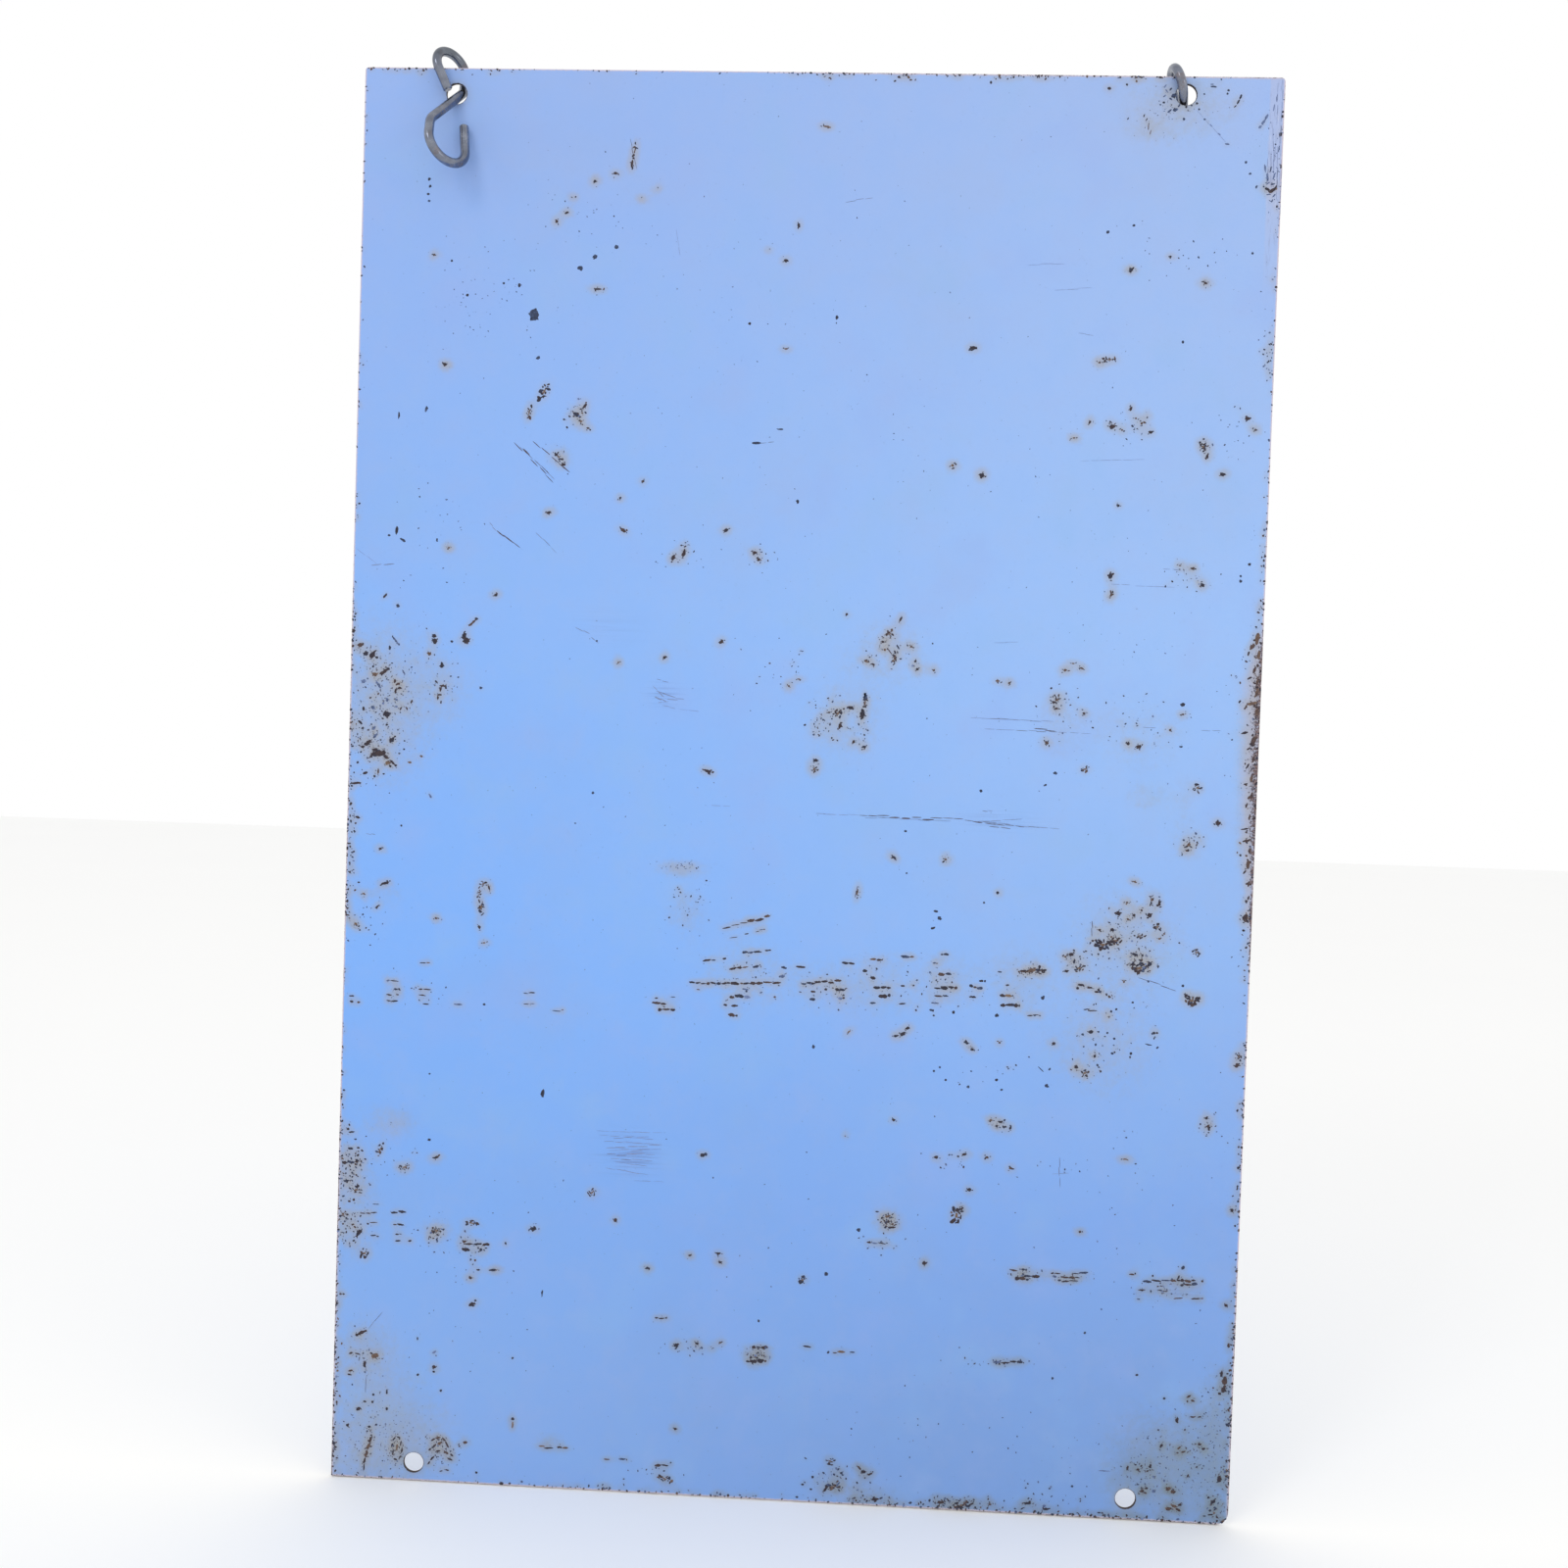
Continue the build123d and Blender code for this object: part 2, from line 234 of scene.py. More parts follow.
# %% The patch by the left edge: across, down, long, wide, turn, shade, stain
left_patch = [
    (443, 649, 5, 4, 0, 0.6, 0.4), (443.5, 654, 7, 6, 0, 0.55, 0.6),
    (461, 654.5, 3, 3, 0, 0.7, 0.2), (473.6, 649, 8, 5, 80, 0.6, 0.5),
    (475.6, 653.8, 9, 6, 20, 0.5, 0.6), (482, 635.5, 12, 2.6, 43, 0.3, 0.5),
    (486, 631.5, 4, 4, 40, 0.7, 0.2), (404, 654, 13, 2.2, -51, 0.9, 0.3),
    (386, 698.5, 11, 2.4, -56, 0.9, 0.4), (412, 686, 7, 1.6, -56, 0.9, 0.2),
    (397.7, 661, 5, 3, 90, 0.7, 0.3), (367.6, 658, 8, 4, 10, 0.3, 0.9),
    (373, 667, 6, 4.5, 10, 0.6, 0.7), (380, 668, 9, 5, 60, 0.5, 0.8),
    (384.5, 671, 4, 3, 0, 0.6, 0.4), (380.7, 680, 3, 3, 0, 0.6, 0.4),
    (391.5, 685.5, 11, 4, 35, 0.45, 0.7), (396, 682.5, 4, 3, 0, 0.6, 0.4),
    (382.7, 688, 6, 4, 0, 0.15, 0.8), (406, 698, 6, 2.8, 20, 0.3, 0.9),
    (403, 695, 5, 2.4, 80, 0.4, 0.8), (408, 702, 4, 2.4, 0, 0.45, 0.6),
    (403.6, 705, 6, 2.6, 80, 0.45, 0.4), (371, 695, 6, 4, 30, 0.9, 0.4),
    (420, 681, 2.5, 2.5, 0, 0.8, 0.1), (438, 667, 5, 4, 0, 0.2, 0.6),
    (451, 679, 7, 4.5, 90, 0.6, 0.5), (460, 690, 2.5, 2, 0, 0.8, 0.1),
    (467.6, 691, 2.5, 2, 0, 0.8, 0.1), (445, 695.5, 4, 2, -45, 0.6, 0.2),
    (452, 700, 8, 2.6, 0, 0.4, 0.5), (449.6, 703.5, 5, 2.4, 80, 0.4, 0.4),
    (455, 702, 3, 2.5, 0, 0.5, 0.2), (448.5, 709, 6, 2, 0, 0.4, 0.4),
    (446.8, 712, 5, 2, 90, 0.4, 0.3), (450, 716.5, 4, 2, 90, 0.5, 0.3),
    (490.7, 702, 4, 3, 0, 0.8, 0.3), (395, 714, 5, 3, 90, 0.9, 0.4),
    (391, 717.6, 3, 3, 0, 0.9, 0.3), (404.5, 714, 3, 3, 0, 0.9, 0.3),
    (404.5, 721, 3, 2.6, 0, 0.9, 0.3), (380.7, 722, 4.4, 4, 0, 0.9, 0.5),
    (371, 723, 5, 3, 90, 0.5, 0.5), (409, 723, 5, 2, 60, 0.4, 0.4), (415, 723, 5, 2, -60, 0.4, 0.4),
    (420, 716, 5, 2, 60, 0.4, 0.3), (394.5, 728.7, 7.4, 6.6, 0, 0.55, 0.8),
    (390.5, 733, 3, 2, 0, 0.6, 0.3), (367.6, 737, 6, 3, -40, 0.6, 0.5),
    (394.7, 739.5, 3, 2.6, 0, 0.6, 0.3), (381.4, 743, 6, 3, 50, 0.9, 0.5),
    (382.7, 751, 7, 3, 50, 0.85, 0.6), (370, 743, 3, 3, 0, 0.6, 0.4),
    (375, 758, 10, 4.4, 35, 0.45, 0.8), (370, 762, 4, 3, 0, 0.5, 0.4),
    (400, 755, 7, 5, 40, 0.6, 0.8), (403, 751.5, 3, 2.4, 0, 0.6, 0.2),
    (412.8, 756, 2.5, 2.2, 0, 0.7, 0.1), (412.3, 764.6, 2.5, 2.2, 0, 0.7, 0.1),
    (387.7, 768.4, 13, 7, 10, 0.42, 0.9), (383, 765, 6, 4, 0, 0.5, 0.5),
    (379.7, 770, 9, 3, 55, 0.45, 0.6), (394, 772.5, 7, 4, -40, 0.45, 0.6),
    (400.4, 778, 9, 2.4, -45, 0.45, 0.4), (396, 778.5, 6, 4, 0, 0.1, 0.8),
    (398.5, 782, 3, 3, 0, 0.6, 0.4), (403.6, 781, 3.4, 3, 0, 0.6, 0.4),
    (386, 787, 7, 2, 90, 0.25, 0.5), (391.5, 789.7, 3, 2, 0, 0.6, 0.3),
    (372.6, 788.5, 6, 3, 20, 0.5, 0.5), (382, 792, 3, 3, 0, 0.6, 0.3),
    (365, 778, 3, 3, 0, 0.6, 0.3), (418, 778, 5, 2.4, 0, 0.15, 0.4),
    (430, 771.6, 4, 2.4, 0, 0.15, 0.4), (363, 799, 13, 2.6, 4, 0.45, 0.5),
    (365, 834, 6, 3, -20, 0.5, 0.5), (358, 820, 5, 3, 60, 0.4, 0.5), (361, 644, 5, 3, 40, 0.5, 0.4),
    (393, 608, 7, 2.4, 50, 0.5, 0.4), (406, 618, 4, 4, 0, 0.7, 0.4),
    (439, 812, 6, 2, -60, 0.9, 0.4), (409.6, 842.5, 2.5, 2.5, 0, 0.6, 0.2),
    (378, 712, 3, 2, 20, 0.4, 0.6), (386, 708, 3, 2, 70, 0.3, 0.5),
]
print(len(left_patch), "marks by the left edge")

# %% The upper right corner
upper_right = [
    (1114, 76, 3, 2, 0, 0.6, 0.3), (1143, 79, 3, 2, 0, 0.6, 0.4), (1165, 79, 3, 2, 0, 0.6, 0.4),
    (1184, 79, 3.6, 2.4, 0, 0.6, 0.5), (1219, 79, 3, 2, 0, 0.6, 0.2),
    (1240, 78.5, 4, 2.6, 0, 0.5, 0.2), (1132, 90, 4, 3, 0, 0.5, 0.6),
    (1150, 86.5, 3, 3, 0, 0.6, 0.4), (1189, 88, 5, 1.4, 60, 0.9, 0.2),
    (1190.6, 93, 5, 1.4, -50, 0.9, 0.2), (1194.6, 91, 4, 2, 40, 0.8, 0.3),
    (1188.4, 98, 4, 1.4, 50, 0.9, 0.2), (1197.7, 97.5, 7, 4, 30, 0.8, 0.4),
    (1194.6, 101, 4, 2, -30, 0.9, 0.3), (1187.5, 104.7, 3, 2.6, 0, 0.7, 0.2),
    (1184, 107, 2.4, 2, 0, 0.8, 0.2), (1193.4, 113.3, 6, 2.2, 40, 0.85, 0.2),
    (1199.4, 112, 6, 3.4, 10, 0.85, 0.3), (1203, 108, 4, 2, 60, 0.8, 0.3),
    (1210.5, 109, 3, 2.6, 0, 0.6, 0.3), (1221.5, 105.6, 3, 2.4, 0, 0.6, 0.3),
    (1208, 121.4, 3.4, 3, 0, 0.8, 0.2), (1216, 107.6, 2.4, 2, 0, 0.7, 0.3),
    (1223.6, 111.5, 2.4, 2, 0, 0.8, 0.2), (1229.2, 121.8, 3, 2.4, 0, 0.8, 0.1),
    (1229, 96, 2, 2, 0, 0.7, 0.2), (1238.6, 88.5, 7, 1.8, -6, 0.75, 0.3),
    (1237, 86, 4, 1.2, 0, 0.9, 0.1), (1253.7, 92, 2.6, 2.4, 0, 0.7, 0.1),
    (1252.6, 95.6, 3, 2.4, 0, 0.7, 0.1), (1266, 99, 6, 2.2, 70, 0.6, 0.3),
    (1263.6, 104, 6, 2, 62, 0.6, 0.3), (1260.5, 108.6, 4, 1.4, 50, 0.4, 0.4),
    (1292.6, 119, 7, 2.4, 60, 0.95, 0.2), (1289.4, 124.5, 8, 2.6, 60, 0.95, 0.3),
    (1286, 129.5, 5, 2.4, 40, 0.95, 0.3), (1172, 129, 8, 1.2, 88, 0.2, 0.2),
    (1174, 135, 6, 1, 80, 0.15, 0.2), (1167.5, 118, 4, 1.2, 70, 0.6, 0.2),
    (1170, 122, 4, 1.2, 60, 0.6, 0.2), (1151, 121, 3, 1.4, 60, 0.7, 0.3),
    (1252.3, 147, 5, 2.2, 0, 0.85, 0.3), (1244, 137, 4, 1.4, -45, 0.95, 0.1),
    (1236, 128, 4, 1.2, -45, 0.95, 0.1), (1271.3, 165.7, 3, 3, 0, 0.8, 0.1),
    (1275.7, 177.3, 3.4, 2.4, 20, 0.8, 0.2), (1282, 190.8, 4, 2.4, 80, 0.8, 0.2),
    (1289.5, 190.4, 2.4, 2, 0, 0.8, 0.2), (1291, 172, 9, 1.8, -84, 0.95, 0.2),
    (1293.4, 181, 9, 2.2, -80, 0.9, 0.3), (1296.5, 173, 7, 1.6, 78, 0.8, 0.3),
    (1300, 180, 8, 1.6, 74, 0.95, 0.3), (1294, 187, 5, 1.4, 40, 0.9, 0.3),
    (1299, 188, 6, 1.6, 20, 0.8, 0.4), (1293, 193, 6, 3, -20, 0.55, 0.6),
    (1298.6, 194, 9, 4, 30, 0.45, 0.6), (1302, 191, 5, 2, 70, 0.6, 0.4),
    (1294.4, 198.6, 5, 1.6, 10, 0.85, 0.3), (1300, 199.6, 5, 1.4, 50, 0.9, 0.3),
    (1298, 205, 4, 1.6, 70, 0.9, 0.2), (1308.5, 119, 4, 3, 90, 0.6, 0.4),
    (1307, 137, 5, 3, 90, 0.6, 0.4), (1307, 170, 5, 2, 88, 0.5, 0.3),
    (1303, 100, 9, 1.4, 84, 0.95, 0.1), (1300, 110, 8, 1.2, 80, 0.95, 0.1),
    (1305, 152, 8, 1.4, 86, 0.9, 0.2), (1278, 258.5, 3, 3, 0, 0.8, 0.1),
    (1131, 236.5, 3, 3, 0, 0.8, 0.1),
]
print(len(upper_right), "marks at the upper right")

# %% The lower right corner
lower_right = [
    (1107, 1360, 3, 3, 0, 0.7, 0.2), (1074, 1406.6, 3, 3, 0, 0.7, 0.2),
    (1160, 1403, 3.6, 3, 0, 0.6, 0.3), (1094, 1516.5, 3, 3, 0, 0.7, 0.2),
    (1188, 1427, 3.6, 3, 0, 0.6, 0.4), (1213, 1425, 6, 2.4, 30, 0.35, 0.9),
    (1217, 1429.5, 5, 2.4, -20, 0.3, 0.8), (1211.6, 1430, 3, 2, 70, 0.4, 0.6),
    (1217, 1446, 5, 2.4, 0, 0.4, 0.6), (1224, 1446, 4, 2, 10, 0.5, 0.5),
    (1201, 1449, 6, 3.6, 80, 0.5, 0.6), (1185, 1475.5, 5.4, 3, 60, 0.5, 0.8),
    (1203, 1477.5, 5, 2.2, 40, 0.3, 0.9), (1207.6, 1481.5, 5, 2.2, 20, 0.3, 0.8),
    (1201.6, 1482.6, 3, 2, 0, 0.35, 0.6), (1224, 1474, 4.4, 2.6, 20, 0.45, 0.8),
    (1228, 1478.4, 4, 3, 0, 0.5, 0.6), (1150.5, 1498, 6, 2.6, 80, 0.45, 0.8),
    (1161, 1499.6, 4, 3, 20, 0.4, 0.9), (1164.6, 1496, 3, 2, 60, 0.5, 0.5),
    (1158.6, 1494.6, 3, 2, 0, 0.6, 0.3), (1173.6, 1496, 5.4, 3, 76, 0.45, 0.8),
    (1171, 1501, 3, 2, 50, 0.4, 0.5), (1177, 1507, 3, 3, 0, 0.9, 0.3),
    (1177, 1521.5, 4, 3.6, 0, 0.9, 0.3), (1188, 1511, 3, 3, 0, 0.9, 0.3),
    (1165, 1521.5, 5.4, 2.8, 20, 0.35, 0.95), (1169, 1523.6, 3, 2, -20, 0.3, 0.6),
    (1170, 1518.6, 3, 2.4, 0, 0.5, 0.4), (1192, 1519, 6, 4, 20, 0.25, 0.9),
    (1197, 1522, 6, 4, -10, 0.3, 0.9), (1192, 1539.6, 7, 4, 10, 0.3, 0.9),
    (1198, 1537, 7, 3, -14, 0.2, 0.9), (1202, 1540.6, 6, 3, -30, 0.4, 0.9),
    (1204, 1535.6, 4, 3, 0, 0.5, 0.4), (1246.5, 1402, 7, 3, 84, 0.5, 0.6),
    (1249.6, 1409, 11, 5, 84, 0.35, 0.9), (1248.5, 1418, 8, 5, 80, 0.4, 0.8),
    (1244.4, 1422, 4, 3, 0, 0.5, 0.5), (1253.6, 1373, 6, 3, 85, 0.4, 0.5),
    (1244, 1509.5, 8, 5, 85, 0.55, 0.7), (1237.7, 1532.6, 7, 4, 40, 0.6, 0.7),
    (1233, 1528, 3, 3, 0, 0.6, 0.4), (1065.4, 1536.8, 4, 3.4, 0, 0.9, 0.3),
    (1127, 1501, 14, 1.2, 0, 0.95, 0.1), (1212, 1506, 4, 2, 60, 0.4, 0.6),
    (1240, 1540, 5, 2, 50, 0.75, 0.6), (1235, 1545.6, 6, 2, 10, 0.6, 0.6),
    (1232, 1539, 3, 1.6, 60, 0.9, 0.4), (1243, 1534, 3, 1.6, 70, 0.8, 0.4),
    (1229, 1547, 4, 1.4, 0, 0.7, 0.5), (1239, 1544, 3, 2, 45, 0.2, 0.7),
    (1182, 1459, 3, 2, 0, 0.5, 0.4), (1221, 1497, 3, 2.4, 20, 0.5, 0.5),
    (1209, 1459, 3, 2, 60, 0.4, 0.5),
]
print(len(lower_right), "marks at the lower right")

# %% The lower left corner
lower_left = [
    (481.5, 1331, 8, 4.6, 20, 0.5, 0.6), (485, 1327, 3, 2.4, 0, 0.6, 0.3),
    (369.5, 1359.5, 12, 3.6, 25, 0.45, 0.7), (364, 1362, 4, 3, 0, 0.5, 0.4),
    (426, 1366, 4, 2, 90, 0.6, 0.3), (382.7, 1383.6, 9, 5.4, 15, 0.15, 0.9),
    (379, 1381, 4, 2.4, 0, 0.45, 0.4), (358, 1380.6, 5, 2, 20, 0.4, 0.5),
    (365, 1381.4, 7, 1.8, -10, 0.4, 0.5), (372, 1392, 7, 3, 80, 0.5, 0.5),
    (443, 1379.7, 6, 2.4, 30, 0.95, 0.4), (443, 1395, 5, 4, 0, 0.5, 0.6),
    (442.6, 1399.6, 3, 3, 0, 0.6, 0.4), (426.4, 1402.8, 3, 3, 0, 0.6, 0.3),
    (357.7, 1398.6, 6, 2, 10, 0.35, 0.6), (356.6, 1402.6, 5, 2, -10, 0.4, 0.5),
    (394.7, 1420, 6, 2, 88, 0.6, 0.4), (394.7, 1437.5, 4, 3, 90, 0.6, 0.4),
    (381, 1423, 3, 3, 0, 0.6, 0.3), (372, 1430, 4, 2, 0, 0.5, 0.4),
    (380, 1430.6, 3, 3, 0, 0.6, 0.3), (366, 1437.5, 6, 3.6, 20, 0.4, 0.5),
    (523, 1448, 4, 3.4, 0, 0.5, 0.5), (523, 1454, 8, 2, 88, 0.05, 0.7),
    (449.8, 1419, 3, 3, 0, 0.6, 0.3), (523, 1386, 3, 3, 0, 0.6, 0.3),
    (354.7, 1454, 4, 4, 0, 0.5, 0.4), (383.9, 1453.7, 3, 3, 0, 0.6, 0.3),
    (376.7, 1456, 3, 3, 0, 0.6, 0.3), (377.8, 1469, 8, 3, 74, 0.35, 0.7),
    (375.8, 1476, 8, 3.2, 72, 0.2, 0.8), (373.8, 1483.6, 8, 3, 74, 0.25, 0.8),
    (372, 1490, 7, 2.6, 78, 0.4, 0.6), (371.2, 1497, 9, 1.4, 86, 0.5, 0.4),
    (402, 1468, 5, 2, 40, 0.45, 0.6), (406.6, 1466.6, 4, 2, -20, 0.5, 0.5),
    (409, 1472.6, 6, 1.8, 80, 0.5, 0.5), (410, 1480, 7, 2, 84, 0.45, 0.6),
    (408, 1487, 6, 1.8, 60, 0.5, 0.5), (403.4, 1489, 5, 2, -20, 0.5, 0.5),
    (401, 1482, 6, 1.6, 80, 0.45, 0.6), (400, 1474.6, 5, 2, 70, 0.5, 0.5),
    (405, 1477, 8, 2, 84, 0.1, 0.9), (442, 1469, 6, 2, 30, 0.4, 0.7),
    (447, 1467, 7, 2.4, 10, 0.2, 0.8), (453, 1468.6, 6, 2, -40, 0.45, 0.7),
    (456, 1474, 8, 2.2, -62, 0.4, 0.8), (448.6, 1473, 5, 3.4, 30, 0.15, 0.9),
    (443, 1475.6, 7, 2.2, 55, 0.4, 0.8), (438.6, 1479, 4, 2, 50, 0.5, 0.4),
    (447, 1480.6, 6, 2, 10, 0.4, 0.7), (455, 1482, 7, 2.4, -35, 0.3, 0.9),
    (461, 1485, 5, 2, -40, 0.45, 0.5), (459, 1489, 7, 2, -20, 0.4, 0.7),
    (441, 1488, 7, 2.2, 50, 0.45, 0.6), (437.6, 1492.6, 5, 2, 60, 0.5, 0.4),
    (450, 1501, 4, 1.8, 10, 0.6, 0.4), (456, 1500, 5, 1.8, -10, 0.5, 0.5),
    (474.5, 1472, 5, 3.4, 0, 0.25, 0.7), (553, 1475.7, 8, 1.8, 0, 0.05, 0.6),
    (511.5, 1513.8, 5, 4, 0, 0.5, 0.4), (486, 1502.7, 3, 3, 0, 0.6, 0.3),
]
print(len(lower_left), "marks at the lower left")

# %% The crust halfway down the right edge
right_crust = [
    (1283, 652, 13, 5, 84, 0.15, 0.8), (1278, 660, 8, 4, 45, 0.25, 0.7),
    (1284.6, 668, 10, 3.4, 86, 0.1, 0.8), (1274, 667, 5, 2, 70, 0.4, 0.4),
    (1280, 684, 8, 3, 70, 0.3, 0.6), (1275, 692, 6, 2, 30, 0.5, 0.4),
    (1283, 696, 9, 3, 82, 0.2, 0.6), (1282, 708, 8, 3, 80, 0.2, 0.6),
    (1277.6, 718, 11, 3.6, 12, 0.15, 0.8), (1271, 722, 6, 2.4, 60, 0.3, 0.6),
    (1282.6, 726, 8, 3.4, 80, 0.2, 0.7), (1265, 716, 4, 2, 60, 0.6, 0.3),
    (1270, 748, 8, 2.4, 12, 0.5, 0.5), (1279, 756, 10, 5, 72, 0.3, 0.7),
    (1274, 764, 5, 2, 40, 0.4, 0.5), (1279, 775, 7, 3, 80, 0.25, 0.6),
    (1273, 782, 7, 2, 60, 0.5, 0.4), (1277, 794, 8, 3, 84, 0.2, 0.6),
    (1271, 800, 5, 1.8, 20, 0.5, 0.4), (1277, 812, 7, 2.6, 80, 0.3, 0.5),
    (1272, 822, 6, 2, 70, 0.4, 0.4), (1275, 834, 7, 2.4, 80, 0.3, 0.5),
    (1270, 846, 9, 1.8, 8, 0.5, 0.4), (1272, 858, 10, 2.4, 14, 0.4, 0.6),
    (1275, 868, 6, 3, 80, 0.3, 0.6), (1273.6, 882, 9, 4, 84, 0.25, 0.7),
    (1270, 890, 5, 2, 50, 0.4, 0.4), (1274, 902, 7, 2.2, 82, 0.3, 0.5),
    (1270.6, 936, 8, 4.6, 60, 0.35, 0.7), (1274, 916, 5, 2, 80, 0.4, 0.4),
]
print(len(right_crust), "marks in the crust")

# %% [markdown]
# ## Rows of dashes, scratches and loose specks
# Across the middle and foot of the sheet the paint has failed in short level dashes, one
# under the other, as it does where something ribbed has rubbed against it. Each row is
# written once, from its left end to its right, and a seeded random walk breaks it into
# dashes. Scratches are written from end to end. Where specks are too many to write down, a
# patch says how many lie round a middle, and how far they spread.

# %% Rows of dashes: left, right, down, thickness, filled share, rise to the right
dash_rows = [
    (737, 764, 946, 2, 0.7, 14), (762, 786, 940, 4, 0.9, 14), (744, 781, 957, 2, 0.7, 14),
    (717, 750, 980, 3, 0.7, 4), (757, 787, 972, 4, 0.85, 5), (744, 776, 988, 4, 0.85, 5),
    (703, 797, 1003, 4, 0.92, 0), (741, 764, 1010, 3, 0.6, 0), (744, 766, 1017, 4, 0.8, 0),
    (773, 792, 1018, 4, 0.8, 0), (738, 756, 1026, 4, 0.6, 0), (743, 753, 1036, 4, 0.7, 0),
    (668, 689, 1018, 2, 0.7, 0), (665, 686, 1024, 3, 0.6, 0), (671, 689, 1030, 4, 0.7, 0),
    (673, 686, 1036, 3, 0.5, 0), (703, 735, 994, 2, 0.3, 0), (700, 718, 1010, 3, 0.5, 0),
    (797, 803, 988, 5, 0.9, 0), (795, 801, 996, 4, 0.9, 0), (812, 828, 986, 3, 0.4, 0),
    (817, 832, 1004, 3, 0.6, 0), (815, 832, 1012, 3, 0.6, 0), (820, 832, 1020, 5, 0.7, 0),
    (859, 872, 983, 3, 0.8, 0), (883, 901, 979, 4, 0.85, 0), (919, 933, 977, 4, 0.8, 0),
    (953, 968, 974, 4, 0.85, 0), (948, 957, 983, 3, 0.7, 0), (880, 885, 991, 4, 0.9, 0),
    (957, 978, 994, 5, 0.9, 2), (888, 903, 998, 5, 0.9, 0), (831, 851, 1002, 3, 0.7, 0),
    (851, 869, 1000, 3, 0.75, 0), (953, 978, 1008, 5, 0.95, 0), (993, 1003, 1008, 4, 0.7, 0),
    (891, 909, 1008, 4, 0.8, 0), (841, 862, 1010, 4, 0.75, 0), (919, 933, 1006, 4, 0.45, 0),
    (953, 968, 1016, 3, 0.7, 0), (896, 909, 1016, 5, 0.8, 0), (989, 996, 1017, 4, 0.8, 0),
    (841, 862, 1019, 4, 0.5, 0), (841, 856, 1026, 4, 0.4, 0), (883, 894, 1023, 4, 0.6, 0),
    (917, 933, 1024, 3, 0.55, 0), (950, 958, 1024, 3, 0.8, 0), (1020, 1034, 1005, 4, 0.7, 0),
    (1020, 1034, 1016, 4, 0.75, 0), (1021, 1041, 1026, 5, 0.8, 0), (1034, 1068, 991, 4, 0.9, 2),
    (1015, 1022, 991, 3, 0.6, -4), (1028, 1038, 969, 3, 0.7, 0), (1110, 1124, 1032, 3, 0.5, 0),
    (1048, 1062, 1036, 3, 0.5, 0), (394, 408, 1001, 3, 0.8, 0), (393, 408, 1009, 4, 0.8, 0),
    (394, 407, 1015, 3, 0.5, 0), (394, 407, 1021, 3, 0.7, 0), (401, 405, 1028, 9, 0.9, 0),
    (421, 439, 983, 2, 0.6, 0), (427, 440, 1009, 4, 0.7, 0), (427, 440, 1015, 3, 0.7, 0),
    (426, 440, 1024, 3, 0.6, 0), (356, 370, 1016, 3, 0.7, 0), (357, 370, 1022, 3, 0.7, 0),
    (463, 472, 1025, 2, 0.4, 0), (534, 546, 1025, 2, 0.5, 0), (563, 575, 1031, 2, 0.6, 0),
    (534, 548, 1013, 2, 0.3, 0), (347, 362, 1155, 3, 0.6, 0), (348, 366, 1172, 3, 0.5, 0),
    (349, 366, 1186, 4, 0.7, 0), (350, 358, 1205, 4, 0.7, 0), (399, 418, 1237, 4, 0.8, 0),
    (401, 420, 1249, 4, 0.8, 0), (403, 420, 1259, 3, 0.4, 0), (403, 420, 1266, 3, 0.6, 0),
    (380, 387, 1229, 2, 0.8, 0), (367, 387, 1238, 2, 0.6, 0), (377, 387, 1248, 2, 0.8, 0),
    (378, 387, 1261, 2, 0.8, 0), (429, 445, 1252, 4, 0.7, 0), (474, 517, 1270, 4, 0.85, 2),
    (471, 492, 1275, 6, 0.7, 0), (486, 508, 1296, 3, 0.5, 0), (346, 352, 1320, 3, 0.8, 0),
    (547, 580, 1477, 3, 0.7, 0), (616, 640, 1489, 3, 0.6, 0), (648, 682, 1495, 4, 0.6, 0),
    (761, 784, 1375, 4, 0.8, 0), (761, 782, 1389, 5, 0.85, 0), (668, 681, 1345, 3, 0.6, 0),
    (819, 829, 1374, 3, 0.4, 0), (840, 874, 1380, 3, 0.7, 0), (982, 1008, 1387, 3, 0.5, 0),
    (1008, 1046, 1390, 4, 0.8, 0), (1030, 1048, 1296, 5, 0.85, 0), (1044, 1063, 1302, 4, 0.8, 0),
    (1032, 1050, 1305, 5, 0.7, 0), (1072, 1112, 1299, 3, 0.7, 0), (1074, 1112, 1303, 3, 0.9, 0),
    (1076, 1110, 1307, 3, 0.6, 0), (1145, 1159, 1300, 3, 0.8, 0), (1166, 1228, 1307, 4, 0.9, 0),
    (1196, 1222, 1311, 4, 0.8, 0), (1152, 1190, 1317, 2, 0.4, 0), (1160, 1228, 1325, 2, 0.35, 0),
    (1200, 1212, 1303, 4, 0.9, 60), (877, 897, 1236, 3, 0.5, 0), (899, 914, 1252, 3, 0.6, 0),
    (875, 906, 1268, 2, 0.4, 0), (1098, 1124, 1009, 4, 0.75, -8), (1175, 1182, 1054, 4, 0.6, 0),
    (1118, 1128, 1383, 2, 0.4, 0),
]
print(len(dash_rows), "rows of dashes")

